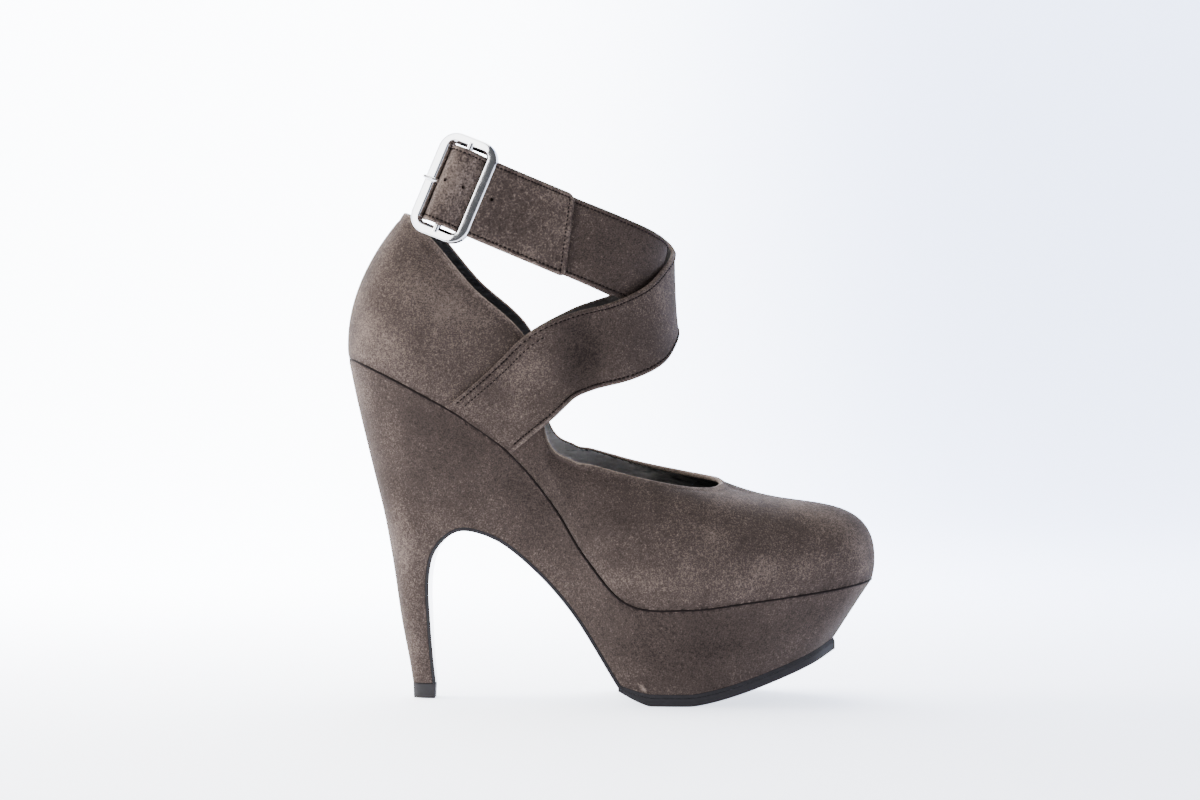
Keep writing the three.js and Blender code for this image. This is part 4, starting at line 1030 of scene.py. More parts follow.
# Lighter (above 0) and darker patches on the heel and the platform, in the same columns: the small
# ones are patches of nap; the broad dark ones are painted shade, and the tiny bright mark by
# the platform's rear edge is a painted highlight.
UNIT_TONES = {
    -1: [(-27, 128, -70, 12, 5, 0.3), (-18, 95, -80, 24, 5, -0.25), (-8, 60, -80, 20, 4, 0.4),
         (5, 112, -30, 16, 8, -0.3), (40, 88, -45, 14, 6, -0.2), (70, 45, -50, 12, 6, 0.25),
         (110, 24, 5, 20, 6, -0.25), (150, 24, 20, 12, 5, 0.2), (-4, 20, -85, 12, 3, 0.3),
         # The three broad dark patches on the next line are painted shade.
         (120, 25, 5, 60, 20, -0.55), (20, 105, -40, 40, 25, -0.4), (66, 60, -50, 34, 16, -0.4),
         # A painted highlight: a tiny bright mark where the platform's rear edge meets the
         # outsole.
         (89.8, 7.5, -50, 1.6, 0.5, 3.5)],
    1: [(-18, 95, -80, 24, 5, 0.25), (5, 112, -30, 16, 8, -0.2), (70, 45, -50, 12, 6, 0.25),
        # The broad dark patch at the end of the next line is painted shade.
        (110, 24, 5, 20, 6, -0.25), (150, 24, 20, 12, 5, 0.2), (120, 25, 5, 60, 20, -0.4)],
}


def sided(rows, point, side):
    """Bumps by side view position, for points of the given signed side."""
    lateral = bumps(rows[-1], point[..., 0], point[..., 2])
    medial = bumps(rows[1], point[..., 0], point[..., 2])
    share = smooth_step(0.5 + side / 12)
    return lateral * (1 - share) + medial * share


def make_upper(kit):
    """Outer and inner faces are the last's surface and the same less its wall along the
    normal; the rim joins them by a half circle. Creases move both along the normal."""
    last = kit.last
    places = np.linspace(0, RING_ROWS, RING_ROWS * 18, endpoint=False)[:, None]
    rises = (np.linspace(0, 1, 57) ** 0.97)[None]
    outer = last.outer(places, rises)
    normal = last.outer_normal(places, rises)
    side = outer[..., 1]
    climb = last.tall * (1 - rises) * 0.9
    relief = sided(UPPER_CREASES, outer, side) * smooth_step(rises / 0.12)
    outer = outer + normal * relief[..., None]
    # A turned topline is a little fuller than the wall, with a shallow line below it.
    rolled = 0.28 * np.exp(-(climb / 1.3) ** 2) - 0.22 * np.exp(-((climb - 2.6) / 0.7) ** 2)
    tuck = -0.35 * np.exp(-(rises * last.tall / 1.2) ** 2)
    face = outer + normal * (rolled + tuck)[..., None]
    inner = outer - normal * last.wall
    inner[:, 0, 2] = last.bed_height(inner[:, 0, 0])
    turn = np.linspace(0, math.pi, 7)[None, :, None]
    top_out, top_in = face[:, -1:], inner[:, -1:]
    up = unit(face[:, -1:] - face[:, -2:-1])
    rim = (top_out + top_in) / 2 + (top_out - top_in) / 2 * np.cos(turn) + up * 0.8 * np.sin(turn)
    # Painted highlight: the nap is lighter within about a millimetre below the topline.
    tone = sided(UPPER_TONES, outer, side) + 0.55 * np.exp(-(climb / 1.0) ** 2)
    # Painted shade: the nap is darker within about a millimetre of the seam with the unit.
    tone = tone - 0.9 * np.exp(-(rises * last.tall / 1.1) ** 2)
    foot = np.stack([inner[:, 0], face[:, 0]], axis=1)
    # Painted highlights on the lining at the waist.
    painted_sheen = sided(LINING_HIGHLIGHTS, inner, inner[..., 1])
    patches = [grid(face, 0, tone, close_rows=True), grid(rim, 1, close_rows=True),
               grid(inner, 2, painted_sheen, close_rows=True), grid(foot, 0, close_rows=True)]
    return build_piece("upper_suede", patches, [kit.suede, kit.edge, kit.lining],
                       "upper", sharp=50)


def slab(top, low, across, edge=0, dish=0.0):
    """A plate between two faces, each a pair of lateral and medial lines, straight across.
    edge is the material of its sides; dish lowers the middle of the top face."""
    share = np.linspace(0, 1, across)[None, :, None]
    faces = [lateral[:, None] + (medial - lateral)[:, None] * share
             for lateral, medial in (top, low)]
    faces[0][..., 2] -= dish * (1 - (2 * share[..., 0] - 1) ** 4)
    patches = [grid(face) for face in faces]
    for pick in ((slice(None), 0), (slice(None), -1), (0,), (-1,)):
        patches.append(grid(np.stack([face[pick] for face in faces], axis=1), edge))
    return patches


def bevel(piece, width_mm):
    """Rounds the edges that turn by more than 40 degrees, in two steps."""
    modifier = piece.modifiers.new("rounded edges", "BEVEL")
    modifier.width = width_mm * MM
    modifier.segments = 2
    modifier.limit_method = "ANGLE"
    modifier.angle_limit = math.radians(40)


def make_insole(kit):
    """The sock: the seam's outline inside the wall, 2.5 mm thick and lightly dished."""
    rows = np.linspace(0, TOE_ROW, 140)
    inset = kit.last.wall + GAP
    lines = [[kit.last.seam(rows, side, inset, -lift) for side in (-1, 1)] for lift in (2.5, 0.0)]
    piece = build_piece("insole_sock", slab(*lines, across=19, dish=0.7), [kit.insole],
                        "insole")
    bevel(piece, 0.6)
    return piece


def make_unit(kit):
    """Sides are straight from the seam to the underside ahead of the breast, and from the
    back line to the breast line at the heel, as the class Last gives them."""
    last = kit.last
    heel_rows = np.linspace(0, BREAST_ROW, 60)
    front_rows = np.linspace(BREAST_ROW, TOE_ROW, 150)
    upper_levels = np.linspace(0, ARCH_LEVEL, 25)
    heel_levels = np.concatenate([upper_levels, np.linspace(ARCH_LEVEL, TIP_LEVEL, 90)[1:]])

    def tones(points, level):
        tone = bumps(UNIT_TONES[-1 if points[..., 1].mean() < 0 else 1],
                     points[..., 0], points[..., 2])
        # Painted shade: the nap is darker right below the seam with the upper.
        return tone - 0.9 * np.exp(-(level / 0.035) ** 2)

    def side_grid(make, rows, levels, side):
        row, level = np.meshgrid(rows, levels, indexing="ij")
        points = make(row, level, side)
        return points, tones(points, level)
    heel = {side: side_grid(last.heel_side, heel_rows, heel_levels, side) for side in (-1, 1)}
    front = {side: side_grid(last.front_side, front_rows, upper_levels, side) for side in (-1, 1)}
    patches = [grid(points, 0, tone) for points, tone in (*heel.values(), *front.values())]
    share = np.linspace(0, 1, 15)[None, :, None]

    def between(lateral, medial):
        # The top, bottom and breast faces between the sides are painted 0.2 darker: painted shade.
        return grid(lateral[:, None] + (medial - lateral)[:, None] * share, 0, -0.2)
    below = len(upper_levels) - 1
    for sides, pick in ((heel, 0), (front, 0), (front, -1), (heel, -1)):
        patches.append(between(sides[-1][0][:, pick], sides[1][0][:, pick]))
    patches.append(between(heel[-1][0][-1, below:], heel[1][0][-1, below:]))
    return build_piece("unit_suede", patches, [kit.suede], "heel_platform_unit",
                       sharp=50)


def make_painted_seam_shadow(kit):
    """Painted shadow in the joint of upper and unit: a dark tube of 0.6 mm radius along
    the seam, a little inside it."""
    rows = np.linspace(0, TOE_ROW, 260)
    middle = [kit.last.seam(rows, side, 0.85, SEAM_GAP / 2) for side in (-1, 1)]
    line = np.concatenate([middle[0], middle[1][-2:0:-1]])
    step = unit(np.roll(line, -1, axis=0) - np.roll(line, 1, axis=0))
    side = unit(np.cross(step, [0, 0, 1.0]))
    up = np.cross(side, step)
    turn = np.linspace(0, 2 * math.pi, 8, endpoint=False)[None, :, None]
    points = line[:, None] + 0.6 * (side[:, None] * np.cos(turn) + up[:, None] * np.sin(turn))
    patch = grid(points, 0, close_rows=True, close_columns=True)
    return build_piece("painted_seam_shadow", [patch], [kit.thread], sharp=180)


def make_sole(kit):
    """The leather cover follows the underside and fills the joint to the outsole, which
    has its tread on the floor's flat and rising curves; the heel tip is the heel's own
    outline."""
    last = kit.last
    places = np.concatenate([np.linspace(0, REAR_EDGE, 150),
                             np.linspace(REAR_EDGE, UNDERSIDE_END, 60)[1:]])
    lines = [[last.underside(places, side, drop, 0.985) for side in (-1, 1)]
             for drop in (0.08, 2 * GAP + last.cover - 0.08)]
    cover = build_piece("sole_cover", slab(*lines, across=13, edge=1),
                        [kit.cover, kit.outsole], "leather_sole")
    bevel(cover, 0.25)
    places = np.linspace(REAR_EDGE, UNDERSIDE_END, 120)
    top = [last.underside(places, side, 2 * GAP + last.cover, 0.985) for side in (-1, 1)]
    low = [line.copy() for line in top]
    for line in low:
        tread = last.tread_height(line[:, 0], last.tread_rear_lift)
        line[:, 2] = np.minimum(tread, line[:, 2] - GAP)
    outsole = build_piece("outsole_rubber", slab(top, low, across=13), [kit.outsole],
                          "outsole")
    bevel(outsole, 0.5)
    rows = np.linspace(0, BREAST_ROW, 40)
    tip_lines = []
    for height, shrink in ((6.0, 1.0), (0.0, 0.95)):
        pair = []
        for side in (-1, 1):
            point = last.heel_side(rows, np.full(rows.shape, float(TIP_LEVEL)), side)
            point[:, 0] = (point[:, 0] + (last.cover + GAP) * rows / BREAST_ROW) * shrink
            point[:, 1] *= shrink
            point[:, 2] = height
            pair.append(point)
        tip_lines.append(pair)
    tip = build_piece("heel_tip_rubber", slab(*tip_lines, across=9), [kit.tip],
                      "heel_tip")
    bevel(tip, 0.3)
    return cover, outsole, tip


# Soft bumps of the straps. Columns: distance from the seam, place across from the
# middle, turn in degrees, length, width and height in millimetres.
LATERAL_CREASES = [(50, 0, 80, 16, 8, -1.6), (37, 2, 80, 12, 7, 0.5), (68, -2, 95, 14, 8, 0.5),
                   (58, -9, 60, 8, 3, -0.4), (95, 6, 90, 12, 6, 0.3)]
MEDIAL_CREASES = [(50, 0, 80, 16, 9, -0.8), (68, 0, 95, 14, 8, 0.4)]
# Lighter (above 0) and darker tones of the straps, in the same columns. On the lateral strap the
# first four paint the light and shade of its bend: lighter near its foot, darkest in the fold,
# lighter again at 96 mm. On the medial strap the patches at 60 and 125 mm are painted shade in its
# fold and on its inner band inside the loop.
LATERAL_TONES = [(53, 0, 80, 16, 11, -1.2), (30, 4, 20, 16, 8, 0.25), (80, -4, 90, 14, 10, -0.25),
                 (96, 6, 90, 10, 5, 0.2), (328, 0, 90, 12, 16, -0.45), (298, 0, 90, 14, 10, 0.3)]
MEDIAL_TONES = [(60, 0, 90, 18, 20, -0.4), (125, 0, 90, 30, 34, -0.55), (132, -6, 30, 10, 6, 0.25)]


def fit_strap(strap, creases):
    """Works out once how far the strap is moved sideways onto the upper, and keeps its
    bumps."""
    distance = np.linspace(0, 3 * strap.width, 110)[:, None]
    across = np.linspace(-0.5, 0.5, 25)[None]
    distance, across = np.broadcast_arrays(distance, across)
    strap.push = strap.laid(distance, across)
    strap.creases = creases


def push_at(strap, distance, across):
    """Bilinear value of the kept sideways move; past its end it stays at the last value."""
    table = strap.push
    u = np.clip(distance / (3 * strap.width), 0, 1) * (table.shape[0] - 1)
    v = np.clip(across + 0.5, 0, 1) * (table.shape[1] - 1)
    i, j = (np.minimum(w.astype(int), size - 2) for w, size in zip((u, v), table.shape))
    u, v = u - i, v - j
    return ((1 - u) * ((1 - v) * table[i, j] + v * table[i, j + 1])
            + u * ((1 - v) * table[i + 1, j] + v * table[i + 1, j + 1]))


def strap_point(strap, distance, across, lift):
    """Point and outward direction on the strap as it lies, with its creases."""
    distance, across, lift = np.broadcast_arrays(distance, across, lift)
    point, outward = strap.surface(distance, across, 0.0 * lift)
    point[..., 1] += strap.side * push_at(strap, distance, across)
    relief = bumps(strap.creases, distance, across * strap.width)
    return point + outward * (lift + relief)[..., None], outward


def strap_section(strap, thick):
    """Section of the strap as (across, lift): an outer face with turned, stitched edges,
    round edges and a plain inner face, as one closed line."""
    half, edge = strap.width / 2, thick / 2
    near = np.array([edge, 1.25, 1.5, 1.75, 2.0, 2.3, 2.7, 3.3, 4.2, 5.5, 7.5, 10.0])
    inside = np.concatenate([near, np.linspace(12.5, half, 3)])
    from_edge = np.concatenate([inside, inside[-2::-1]])
    across = np.concatenate([inside - half, half - inside[-2::-1]])
    puff = 0.22 * np.exp(-((from_edge - 1.1) / 0.7) ** 2)
    groove = -0.28 * np.exp(-((from_edge - STITCH_INSET) / 0.35) ** 2)
    crown = 0.15 * (1 - (across / half) ** 2)
    outer = edge + puff + groove + crown
    turn = np.linspace(0, math.pi, 8)[1:-1]
    round_across = (half - edge) + edge * np.sin(turn)
    round_lift = edge * np.cos(turn)
    plain = np.linspace(half - edge, edge - half, 18)
    section_across = np.concatenate([across, round_across, plain, -round_across[::-1]])
    section_lift = np.concatenate([outer, round_lift, np.full(18, -edge), round_lift[::-1]])
    counts = (len(across), len(turn), len(plain))
    return section_across / strap.width, section_lift, counts


def make_strap(kit, strap, name, node, tone_rows, creases, tail_from):
    """The section carried along the strap; its last millimetre is rounded off, and from
    tail_from on its nap is coarse."""
    thick = kit.loop.thick
    fit_strap(strap, creases)
    across, lift, (outer, turned, plain) = strap_section(strap, thick)
    distance = np.linspace(0, strap.length, int(strap.length / 0.95))
    distance = np.concatenate([distance[:-1], strap.length - np.array([0.6, 0.35, 0.18, 0.06, 0])])
    distance = np.sort(distance)
    left = strap.length - distance
    thin = np.sqrt(np.clip(1 - (1 - left / 0.8).clip(0) ** 2, 0.02, 1))
    points, _ = strap_point(strap, distance[:, None], across[None], thin[:, None] * lift[None])
    wide = np.broadcast_to(across * strap.width, points.shape[:2])
    far = np.broadcast_to(distance[:, None], points.shape[:2])
    tone = bumps(tone_rows, far, wide)
    # Painted highlight: the nap is lighter within about 0.7 mm of the edges.
    tone = tone + 0.4 * np.exp(-((strap.width / 2 - np.abs(wide)) / 0.7) ** 2)
    tone = tone + 0.15 * smooth_step((far - tail_from) / 8)
    # Painted shade: darker within about a millimetre of the foot, where it meets the seam.
    tone = tone - 0.5 * np.exp(-(far / 1.2) ** 2)
    # The closed line is split into suede, two turned edges and lining.
    split = int(np.searchsorted(distance, tail_from))
    line = np.arange(len(across) + 1) % len(across)
    shown = np.concatenate([line[-turned - 1:-1], line[:outer], line[outer:outer + turned + 1]])
    lined = line[outer + turned:outer + turned + plain]
    patches = []
    for rows, material in ((slice(0, split + 1), 0), (slice(split, None), 3)):
        if len(distance[rows]) > 1:
            patches.append(grid(points[rows][:, shown], material, tone[rows][:, shown]))
    patches.append(grid(points[:, np.concatenate([lined, [shown[0]]])], 1))
    patches.append(grid(points[:, [shown[-1], lined[0]]], 1))
    face = points[:, :outer]
    back = points[:, outer + turned:outer + turned + plain]
    back = back[:, np.linspace(plain - 1, 0, outer).round().astype(int)]
    for row in (0, -1):
        patches.append(grid(np.stack([face[row], back[row]], axis=1), 2))
    return build_piece(name, patches, [kit.suede, kit.strap_lining, kit.edge, kit.coarse_suede],
                       node, sharp=55)


def make_straps(kit):
    """Both straps, with round holes where the prong passes and where it could."""
    loop, buckle = kit.loop, kit.buckle
    lateral, medial = kit.lateral, kit.medial
    through = lateral.nearest(loop.at_buckle(np.array(0.0), buckle.eye + buckle.layer))
    outer = make_strap(kit, lateral, "strap_lateral_suede", "strap_lateral", LATERAL_TONES,
                       LATERAL_CREASES, through - 9)
    inner = make_strap(kit, medial, "strap_medial_suede", "strap_medial", MEDIAL_TONES,
                       MEDIAL_CREASES, medial.length)
    prong = lateral.nearest(loop.at_buckle(np.array(buckle.prong_rise), -0.5))
    centres, axes = [], []
    for distance in prong + 0.4 + HOLE_PITCH * np.arange(1, 5):
        point, *directions = lateral.frame(np.array(distance))
        centres.append(point + directions[1] * HOLE_LIFT)
        axes.append(directions)
    cut_holes(outer, centres, axes, HOLE_RADIUS, CUT_DEPTH)
    point, *directions = lateral.frame(np.array(prong))
    cut_holes(outer, [point], [directions], PRONG_HOLE_RADIUS, CUT_DEPTH)
    return outer, inner


def ring_of(length, width, corner, steps=14):
    """Outline of a rounded rectangle: a quarter arc of radius corner at each corner."""
    turn = np.linspace(0, math.pi / 2, steps)
    arcs = []
    for quarter, (sx, sy) in enumerate(((1, 1), (-1, 1), (-1, -1), (1, -1))):
        angle = turn + quarter * math.pi / 2
        arcs.append(np.stack([sx * (length / 2 - corner) + corner * np.cos(angle),
                              sy * (width / 2 - corner) + corner * np.sin(angle)], axis=-1))
    return np.concatenate(arcs)


# Section of the buckle's frame. Columns: share of the way from its inner to its outer
# edge, height as a share of half its thickness. The inner slope is the bright one.
FRAME_SECTION = np.array([
    (0.00, -0.60), (0.00, 0.10), (0.03, 0.30), (0.24, 0.96), (0.30, 1.00), (0.84, 1.00),
    (0.90, 0.97), (0.97, 0.75), (1.00, 0.50), (1.00, -0.60), (0.97, -0.85), (0.90, -1.00),
    (0.10, -1.00), (0.03, -0.85),
])


def tube(line, radius, sides=16):
    """Circles of the given radii square to a line that lies in the plane y = 0."""
    step = unit(np.gradient(line, axis=0))
    up = np.stack([-step[:, 2], 0 * step[:, 0], step[:, 0]], axis=-1)
    turn = np.linspace(0, 2 * math.pi, sides, endpoint=False)[None, :, None]
    radius = np.broadcast_to(radius, len(line))[:, None, None]
    circle = up[:, None] * np.cos(turn) + np.array([0, 1.0, 0]) * np.sin(turn)
    return line[:, None] + radius * circle


def make_buckle(kit):
    """The frame is its section carried round two rounded rectangles; the centre bar and
    the prong are round tubes. All are placed by the buckle's own plane."""
    loop, buckle = kit.loop, kit.buckle

    def place(points):
        return loop.at_buckle(points[..., 0], points[..., 2], points[..., 1])
    outer = ring_of(buckle.length, buckle.width, buckle.corner)
    inner = ring_of(buckle.length - 2 * buckle.bar, buckle.width - 2 * buckle.side_bar,
                    buckle.inner_corner)
    share, height = FRAME_SECTION.T
    flat = inner[:, None] + (outer - inner)[:, None] * share[None, :, None]
    # The frame is curved back a little towards the front, as the ankle is.
    reach = flat[..., :1]
    curve = (-0.0026 * (reach + buckle.length / 2).clip(0) ** 2
             - 0.12 * (reach - buckle.length / 2 + buckle.bar).clip(0))
    lift = (height * buckle.thick / 2)[None, :, None] + curve
    ring_points = np.concatenate([flat, lift], axis=-1)
    half_bar = (buckle.width - buckle.side_bar) / 2
    bar_line = np.linspace(-1, 1, 3)[:, None] * np.array([0, half_bar, 0])
    turn = np.linspace(0, 2 * math.pi, 20, endpoint=False)
    circle = np.stack([np.cos(turn), 0 * turn, np.sin(turn)], axis=-1) * buckle.centre_bar
    bar = np.concatenate([bar_line[:1, None] + 0 * circle, bar_line[:, None] + circle,
                          bar_line[-1:, None] + 0 * circle])
    frame_piece = build_piece("buckle_frame_polished", [
        grid(place(ring_points), 0, close_rows=True, close_columns=True),
        grid(place(bar), 0, close_columns=True)], [kit.metal],
        "buckle_frame", sharp=32, merge=0.001)
    top = buckle.thick / 2 + GAP + buckle.prong
    eye = buckle.centre_bar + GAP + buckle.prong
    rise = buckle.prong_rise
    key = np.array([(eye * 0.5, eye * 0.87), (0, eye), (-eye * 0.74, eye * 0.74),
                    (-eye * 1.03, eye * 0.2), (-eye * 0.45 + rise * 0.55, 0),
                    (rise, top * 0.55), (rise - 1.6 * buckle.prong, top),
                    (-buckle.length / 2 - buckle.prong / 2, top)])
    key = np.stack([key[:, 0], 0 * key[:, 0], key[:, 1]], axis=-1)
    line = centripetal_point(key, np.linspace(0, len(key) - 1, 90))
    left = np.linspace(1, 0, 90)
    radius = buckle.prong * np.sqrt(np.clip(1 - (1 - left / 0.05).clip(0) ** 2, 0.0005, 1))
    radius = radius * (0.85 + 0.15 * smooth_step(left / 0.4))
    points = tube(line, radius)
    points = np.concatenate([np.repeat(line[:1, None], points.shape[1], axis=1), points,
                             np.repeat(line[-1:, None], points.shape[1], axis=1)])
    prong = build_piece("buckle_prong_polished", [grid(place(points), 0, close_columns=True)],
                        [kit.metal], "buckle_prong", sharp=50, merge=0.001)
    return frame_piece, prong


# Rows of stitches on a strap. Columns: which strap, start and end distance (negative
# from the end), distance from the upper edge (negative from the lower edge).
STITCH_ROWS = [
    ("lateral", 4, -2.5, STITCH_INSET), ("lateral", 4, -2.5, -STITCH_INSET),
    ("lateral", 5, 42, STITCH_INSET + 3.0),
    ("medial", 4, -16, STITCH_INSET), ("medial", 4, -16, -STITCH_INSET),
]


def make_stitches(kit):
    """Stitches stand at equal distances along rows on the outer faces of the straps."""
    lift = kit.loop.thick / 2 + 0.1
    centres, tangents, outwards = [], [], []

    def sew(strap, distance, across):
        point, outward = strap_point(strap, distance, across, np.array(lift))
        ahead, _ = strap_point(strap, distance + 0.3, across, np.array(lift))
        return point, unit(ahead - point), outward
    for which, start, end, inset in STITCH_ROWS:
        strap = getattr(kit, which)
        end = strap.length + end if end < 0 else end
        distance = np.arange(start, end, STITCH_PITCH)
        across = math.copysign(0.5, inset) - inset / strap.width
        row = sew(strap, distance, np.full(distance.shape, across))
        for values, new in zip((centres, tangents, outwards), row):
            values.append(new)
    # The row across the tail, 2 mm from its slanting end.
    strap = kit.lateral
    across = np.arange(-strap.width / 2 + 2.6, strap.width / 2 - 2.4, STITCH_PITCH) / strap.width
    distance = np.full(across.shape, strap.length - 2.2)
    point, outward = strap_point(strap, distance, across, np.array(lift))
    beside, _ = strap_point(strap, distance, across + 0.01, np.array(lift))
    for values, new in zip((centres, tangents, outwards), (point, unit(beside - point), outward)):
        values.append(new)
    return threads("strap_stitches", *map(np.concatenate, (centres, tangents, outwards)),
                   kit.thread, STITCH_LENGTH, THREAD_RADIUS)


def make_stage(context):
    """A paper sweep (flat, a quarter arc of 0.8 m, then upright), soft lights and the
    camera, level with the middle of the shoe and square to its side."""
    colours = context.scene.pump_colours
    angle = np.linspace(0, math.pi / 2, 24)
    radius, back = 0.8, 1.2
    y = np.concatenate([[-2.6, -1.3, 0, back], back + radius * np.sin(angle[1:]), [back + radius]])
    z = np.concatenate([[0, 0, 0, 0], radius - radius * np.cos(angle[1:]), [3.2]])
    x = np.linspace(-3, 3, 7)
    points = np.stack(np.broadcast_arrays(x[None], y[:, None], z[:, None]), axis=-1)
    mesh = bpy.data.meshes.new("paper_sweep")
    faces = grid_faces(len(y), len(x), False, False)[:, ::-1]
    mesh.from_pydata(points.reshape(-1, 3).tolist(), [], faces.tolist())
    mesh.polygons.foreach_set("use_smooth", np.ones(len(faces), bool))
    mesh.materials.append(studio_paper(colours))
    sweep = bpy.data.objects.new("paper_sweep", mesh)
    context.scene.collection.objects.link(sweep)
    target = Vector((0.075, 0.0, 0.11))
    for name, place, size, power, tint in STUDIO_LIGHTS:
        light = bpy.data.lights.new(name, "AREA")
        light.shape, light.size, light.energy = "DISK", size, power
        light.color = linear(tint)[:3]
        lamp = bpy.data.objects.new(name, light)
        lamp.location = place
        lamp.rotation_euler = (target - Vector(place)).to_track_quat("-Z", "Y").to_euler()
        context.scene.collection.objects.link(lamp)
    world = bpy.data.worlds.new("studio")
    context.scene.world = world
    world.use_nodes = True
    background = world.node_tree.nodes["Background"]
    background.inputs["Color"].default_value = tuple(colours.sky)
    background.inputs["Strength"].default_value = 0.15
    camera = bpy.data.cameras.new("camera")
    camera.lens, camera.sensor_width = 72, 36
    camera.clip_start, camera.clip_end = 0.01, 20
    view = bpy.data.objects.new("camera", camera)
    view.location = (0.0727, -1.0, 0.1237)
    view.rotation_euler = (math.pi / 2, 0, 0)
    context.scene.collection.objects.link(view)
    context.scene.camera = view


# The lights of the studio. Columns: name, place in metres, size, power in watts, tint.
STUDIO_LIGHTS = [
    ("key from the heel side", (-1.0, 0.27, 0.6), 0.8, 32, "#fffaf6"),
    ("rim from the toe side", (1.15, 0.45, 0.5), 0.8, 8, "#f2f6ff"),
    ("top", (0.1, 0.2, 1.35), 1.1, 20, "#ffffff"),
    ("backdrop", (0.1, 0.75, 1.9), 1.6, 20, "#ffffff"),
    ("card beside the camera", (-0.74, -0.98, 0.59), 0.66, 8.5, "#ffffff"),
]


def length(name, description, default):
    """A length in metres, shown in the scene's units."""
    return bpy.props.FloatProperty(name=name, description=description, default=default,
                                   unit="LENGTH", min=0.0001, precision=4)


def colour(name, description, default):
    """A colour whose default is given as sRGB hex."""
    return bpy.props.FloatVectorProperty(name=name, description=description, size=4,
                                         subtype="COLOR", min=0, max=1, default=linear(default))


class PumpSizes(bpy.types.PropertyGroup):
    """Sizes of the shoe"""
    shoe_length: length("Shoe length", "From the back of the counter to the toe, level", 0.221)
    heel_reach: length("Heel reach", "From the heel tip's centre back to the counter", 0.0329)
    ball_width: length("Ball width", "Width across the ball of the foot", 0.080)
    seat_height: length("Seat height", "Floor to the feather at the back of the heel", 0.141)
    platform_height: length("Platform height", "Floor to the feather at the ball", 0.0395)
    toe_spring: length("Toe spring", "Rise of the feather from the ball to the toe", 0.010)
    upper_height: length("Upper height", "Height of the counter above the feather", 0.0602)
    upper_wall: length("Upper wall", "Thickness of the upper", 0.0018)
    lateral_strap_width: length("Lateral strap width", "Width of the outer strap", 0.0325)
    medial_strap_width: length("Medial strap width", "Width of the inner strap", 0.031)
    strap_thickness: length("Strap thickness", "Thickness of both straps", 0.002)
    loop_length: length("Loop length", "Ankle loop from front to back", 0.111)
    loop_width: length("Loop width", "Ankle loop from side to side", 0.062)
    loop_tilt: bpy.props.FloatProperty(
        name="Loop tilt", description="Slant of the ankle loop, down to the front",
        default=math.radians(22.7), subtype="ANGLE")
    buckle_length: length("Buckle length", "Buckle along the strap", 0.026)
    buckle_width: length("Buckle width", "Buckle across the strap", 0.0435)


class PumpColours(bpy.types.PropertyGroup):
    """Colours of the finishes"""
    nap: colour("Nap", "Suede, middle tone", "#3b322e")
    nap_light: colour("Light nap", "Suede brushed towards the light", "#75675e")
    nap_deep: colour("Deep nap", "Suede brushed away from the light", "#191311")
    raw_edge: colour("Raw edge", "Cut edges of the suede", "#97867a")
    lining: colour("Lining", "Leather inside the upper and the straps", "#2a2827")
    # Pale grey painted on the lining's wrinkles at the waist: painted highlight.
    lining_highlight: colour("Worn lining", "Rubbed and wrinkled lining at the waist", "#d6d3cf")
    cover: colour("Sole leather", "Lacquered cover of the arch", "#1f1b1a")
    outsole: colour("Outsole", "Rubber of the outsole", "#1a191a")
    outsole_dust: colour("Dusty outsole", "Outsole where it is dusty", "#2d2b2d")
    tip: colour("Heel tip", "Rubber of the heel tip", "#201f20")
    tip_dust: colour("Dusty heel tip", "Heel tip where it is dusty", "#343233")
    metal: colour("Metal", "Polished buckle", "#dcdcdf")
    # The thread's colour also makes the dark tube in the seam, which is painted shadow.
    thread: colour("Thread", "Stitches and seam bead", "#120d0c")
    paper: colour("Paper", "Background", "#fafbff")
    warm_glow: colour("Glow at the heel", "Light through the paper, heel side", "#f4f8ff")
    cool_glow: colour("Glow at the toe", "Light through the paper, toe side", "#b4c6f2")
    sky: colour("Sky", "Faint light from all round", "#f6f8ff")


class PUMP_OT_upper(bpy.types.Operator):
    """Make the suede upper with its lining and rolled topline"""
    bl_idname = "pump.upper"
    bl_label = "Upper"
    bl_options = {"REGISTER", "UNDO"}

    def execute(self, context):
        make_upper(Kit.get(context))
        return {"FINISHED"}


class PUMP_OT_insole(bpy.types.Operator):
    """Make the sock that the foot stands on"""
    bl_idname = "pump.insole"
    bl_label = "Insole"
    bl_options = {"REGISTER", "UNDO"}

    def execute(self, context):
        make_insole(Kit.get(context))
        return {"FINISHED"}


class PUMP_OT_unit(bpy.types.Operator):
    """Make the suede heel and platform and the dark tube of painted shadow in their seam"""
    bl_idname = "pump.unit"
    bl_label = "Heel and platform"
    bl_options = {"REGISTER", "UNDO"}

    def execute(self, context):
        make_unit(Kit.get(context))
        make_painted_seam_shadow(Kit.get(context))
        return {"FINISHED"}


class PUMP_OT_sole(bpy.types.Operator):
    """Make the leather cover, the outsole and the heel tip"""
    bl_idname = "pump.sole"
    bl_label = "Soles and heel tip"
    bl_options = {"REGISTER", "UNDO"}

    def execute(self, context):
        make_sole(Kit.get(context))
        return {"FINISHED"}


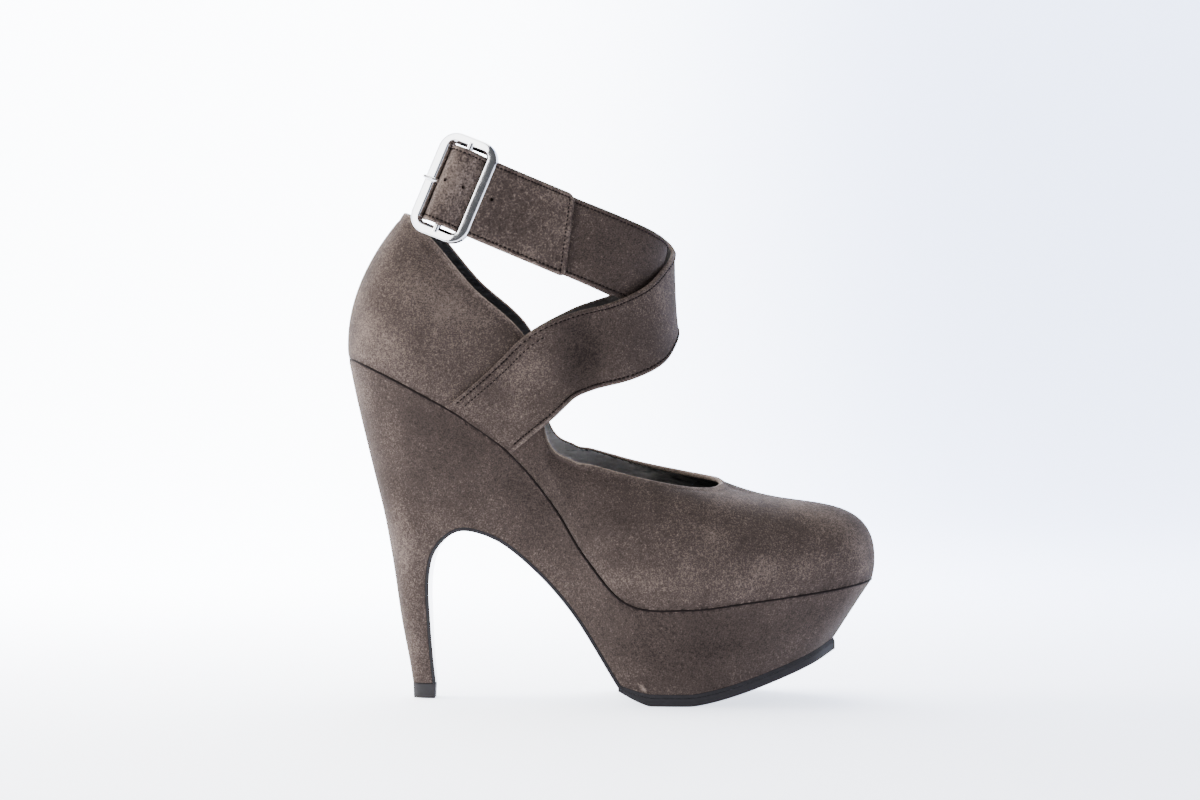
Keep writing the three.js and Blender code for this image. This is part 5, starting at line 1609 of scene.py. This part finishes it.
class PUMP_OT_straps(bpy.types.Operator):
    """Make both straps and their stitches"""
    bl_idname = "pump.straps"
    bl_label = "Straps"
    bl_options = {"REGISTER", "UNDO"}

    def execute(self, context):
        make_straps(Kit.get(context))
        make_stitches(Kit.get(context))
        return {"FINISHED"}


class PUMP_OT_buckle(bpy.types.Operator):
    """Make the buckle's frame, centre bar and prong"""
    bl_idname = "pump.buckle"
    bl_label = "Buckle"
    bl_options = {"REGISTER", "UNDO"}

    def execute(self, context):
        make_buckle(Kit.get(context))
        return {"FINISHED"}


class PUMP_OT_stage(bpy.types.Operator):
    """Make the paper sweep, the lights and the camera"""
    bl_idname = "pump.stage"
    bl_label = "Stage"
    bl_options = {"REGISTER", "UNDO"}

    def execute(self, context):
        make_stage(context)
        return {"FINISHED"}


class PUMP_PT_panel(bpy.types.Panel):
    """Sizes, colours and pieces of the pump"""
    bl_idname = "PUMP_PT_panel"
    bl_label = "Platform pump"
    bl_space_type = "VIEW_3D"
    bl_region_type = "UI"
    bl_category = "Pump"

    def draw(self, context):
        layout = self.layout
        for settings in (context.scene.pump_sizes, context.scene.pump_colours):
            column = layout.column(align=True)
            for name in settings.__annotations__:
                column.prop(settings, name)
        for operator in OPERATORS:
            layout.operator(operator.bl_idname)


OPERATORS = (PUMP_OT_upper, PUMP_OT_insole, PUMP_OT_unit, PUMP_OT_sole, PUMP_OT_straps,
             PUMP_OT_buckle, PUMP_OT_stage)
CLASSES = (PumpSizes, PumpColours, *OPERATORS, PUMP_PT_panel)


def register():
    """Registers the classes and hangs the settings on the scene."""
    for cls in CLASSES:
        bpy.utils.register_class(cls)
    bpy.types.Scene.pump_sizes = bpy.props.PointerProperty(type=PumpSizes)
    bpy.types.Scene.pump_colours = bpy.props.PointerProperty(type=PumpColours)


def unregister():
    """Undoes register, last things first."""
    del bpy.types.Scene.pump_colours
    del bpy.types.Scene.pump_sizes
    for cls in reversed(CLASSES):
        bpy.utils.unregister_class(cls)


def main():
    """Makes every piece and the stage."""
    register()
    pump = bpy.ops.pump
    for make in (pump.upper, pump.insole, pump.unit, pump.sole, pump.straps, pump.buckle,
                 pump.stage):
        make()


if __name__ == "__main__":
    main()
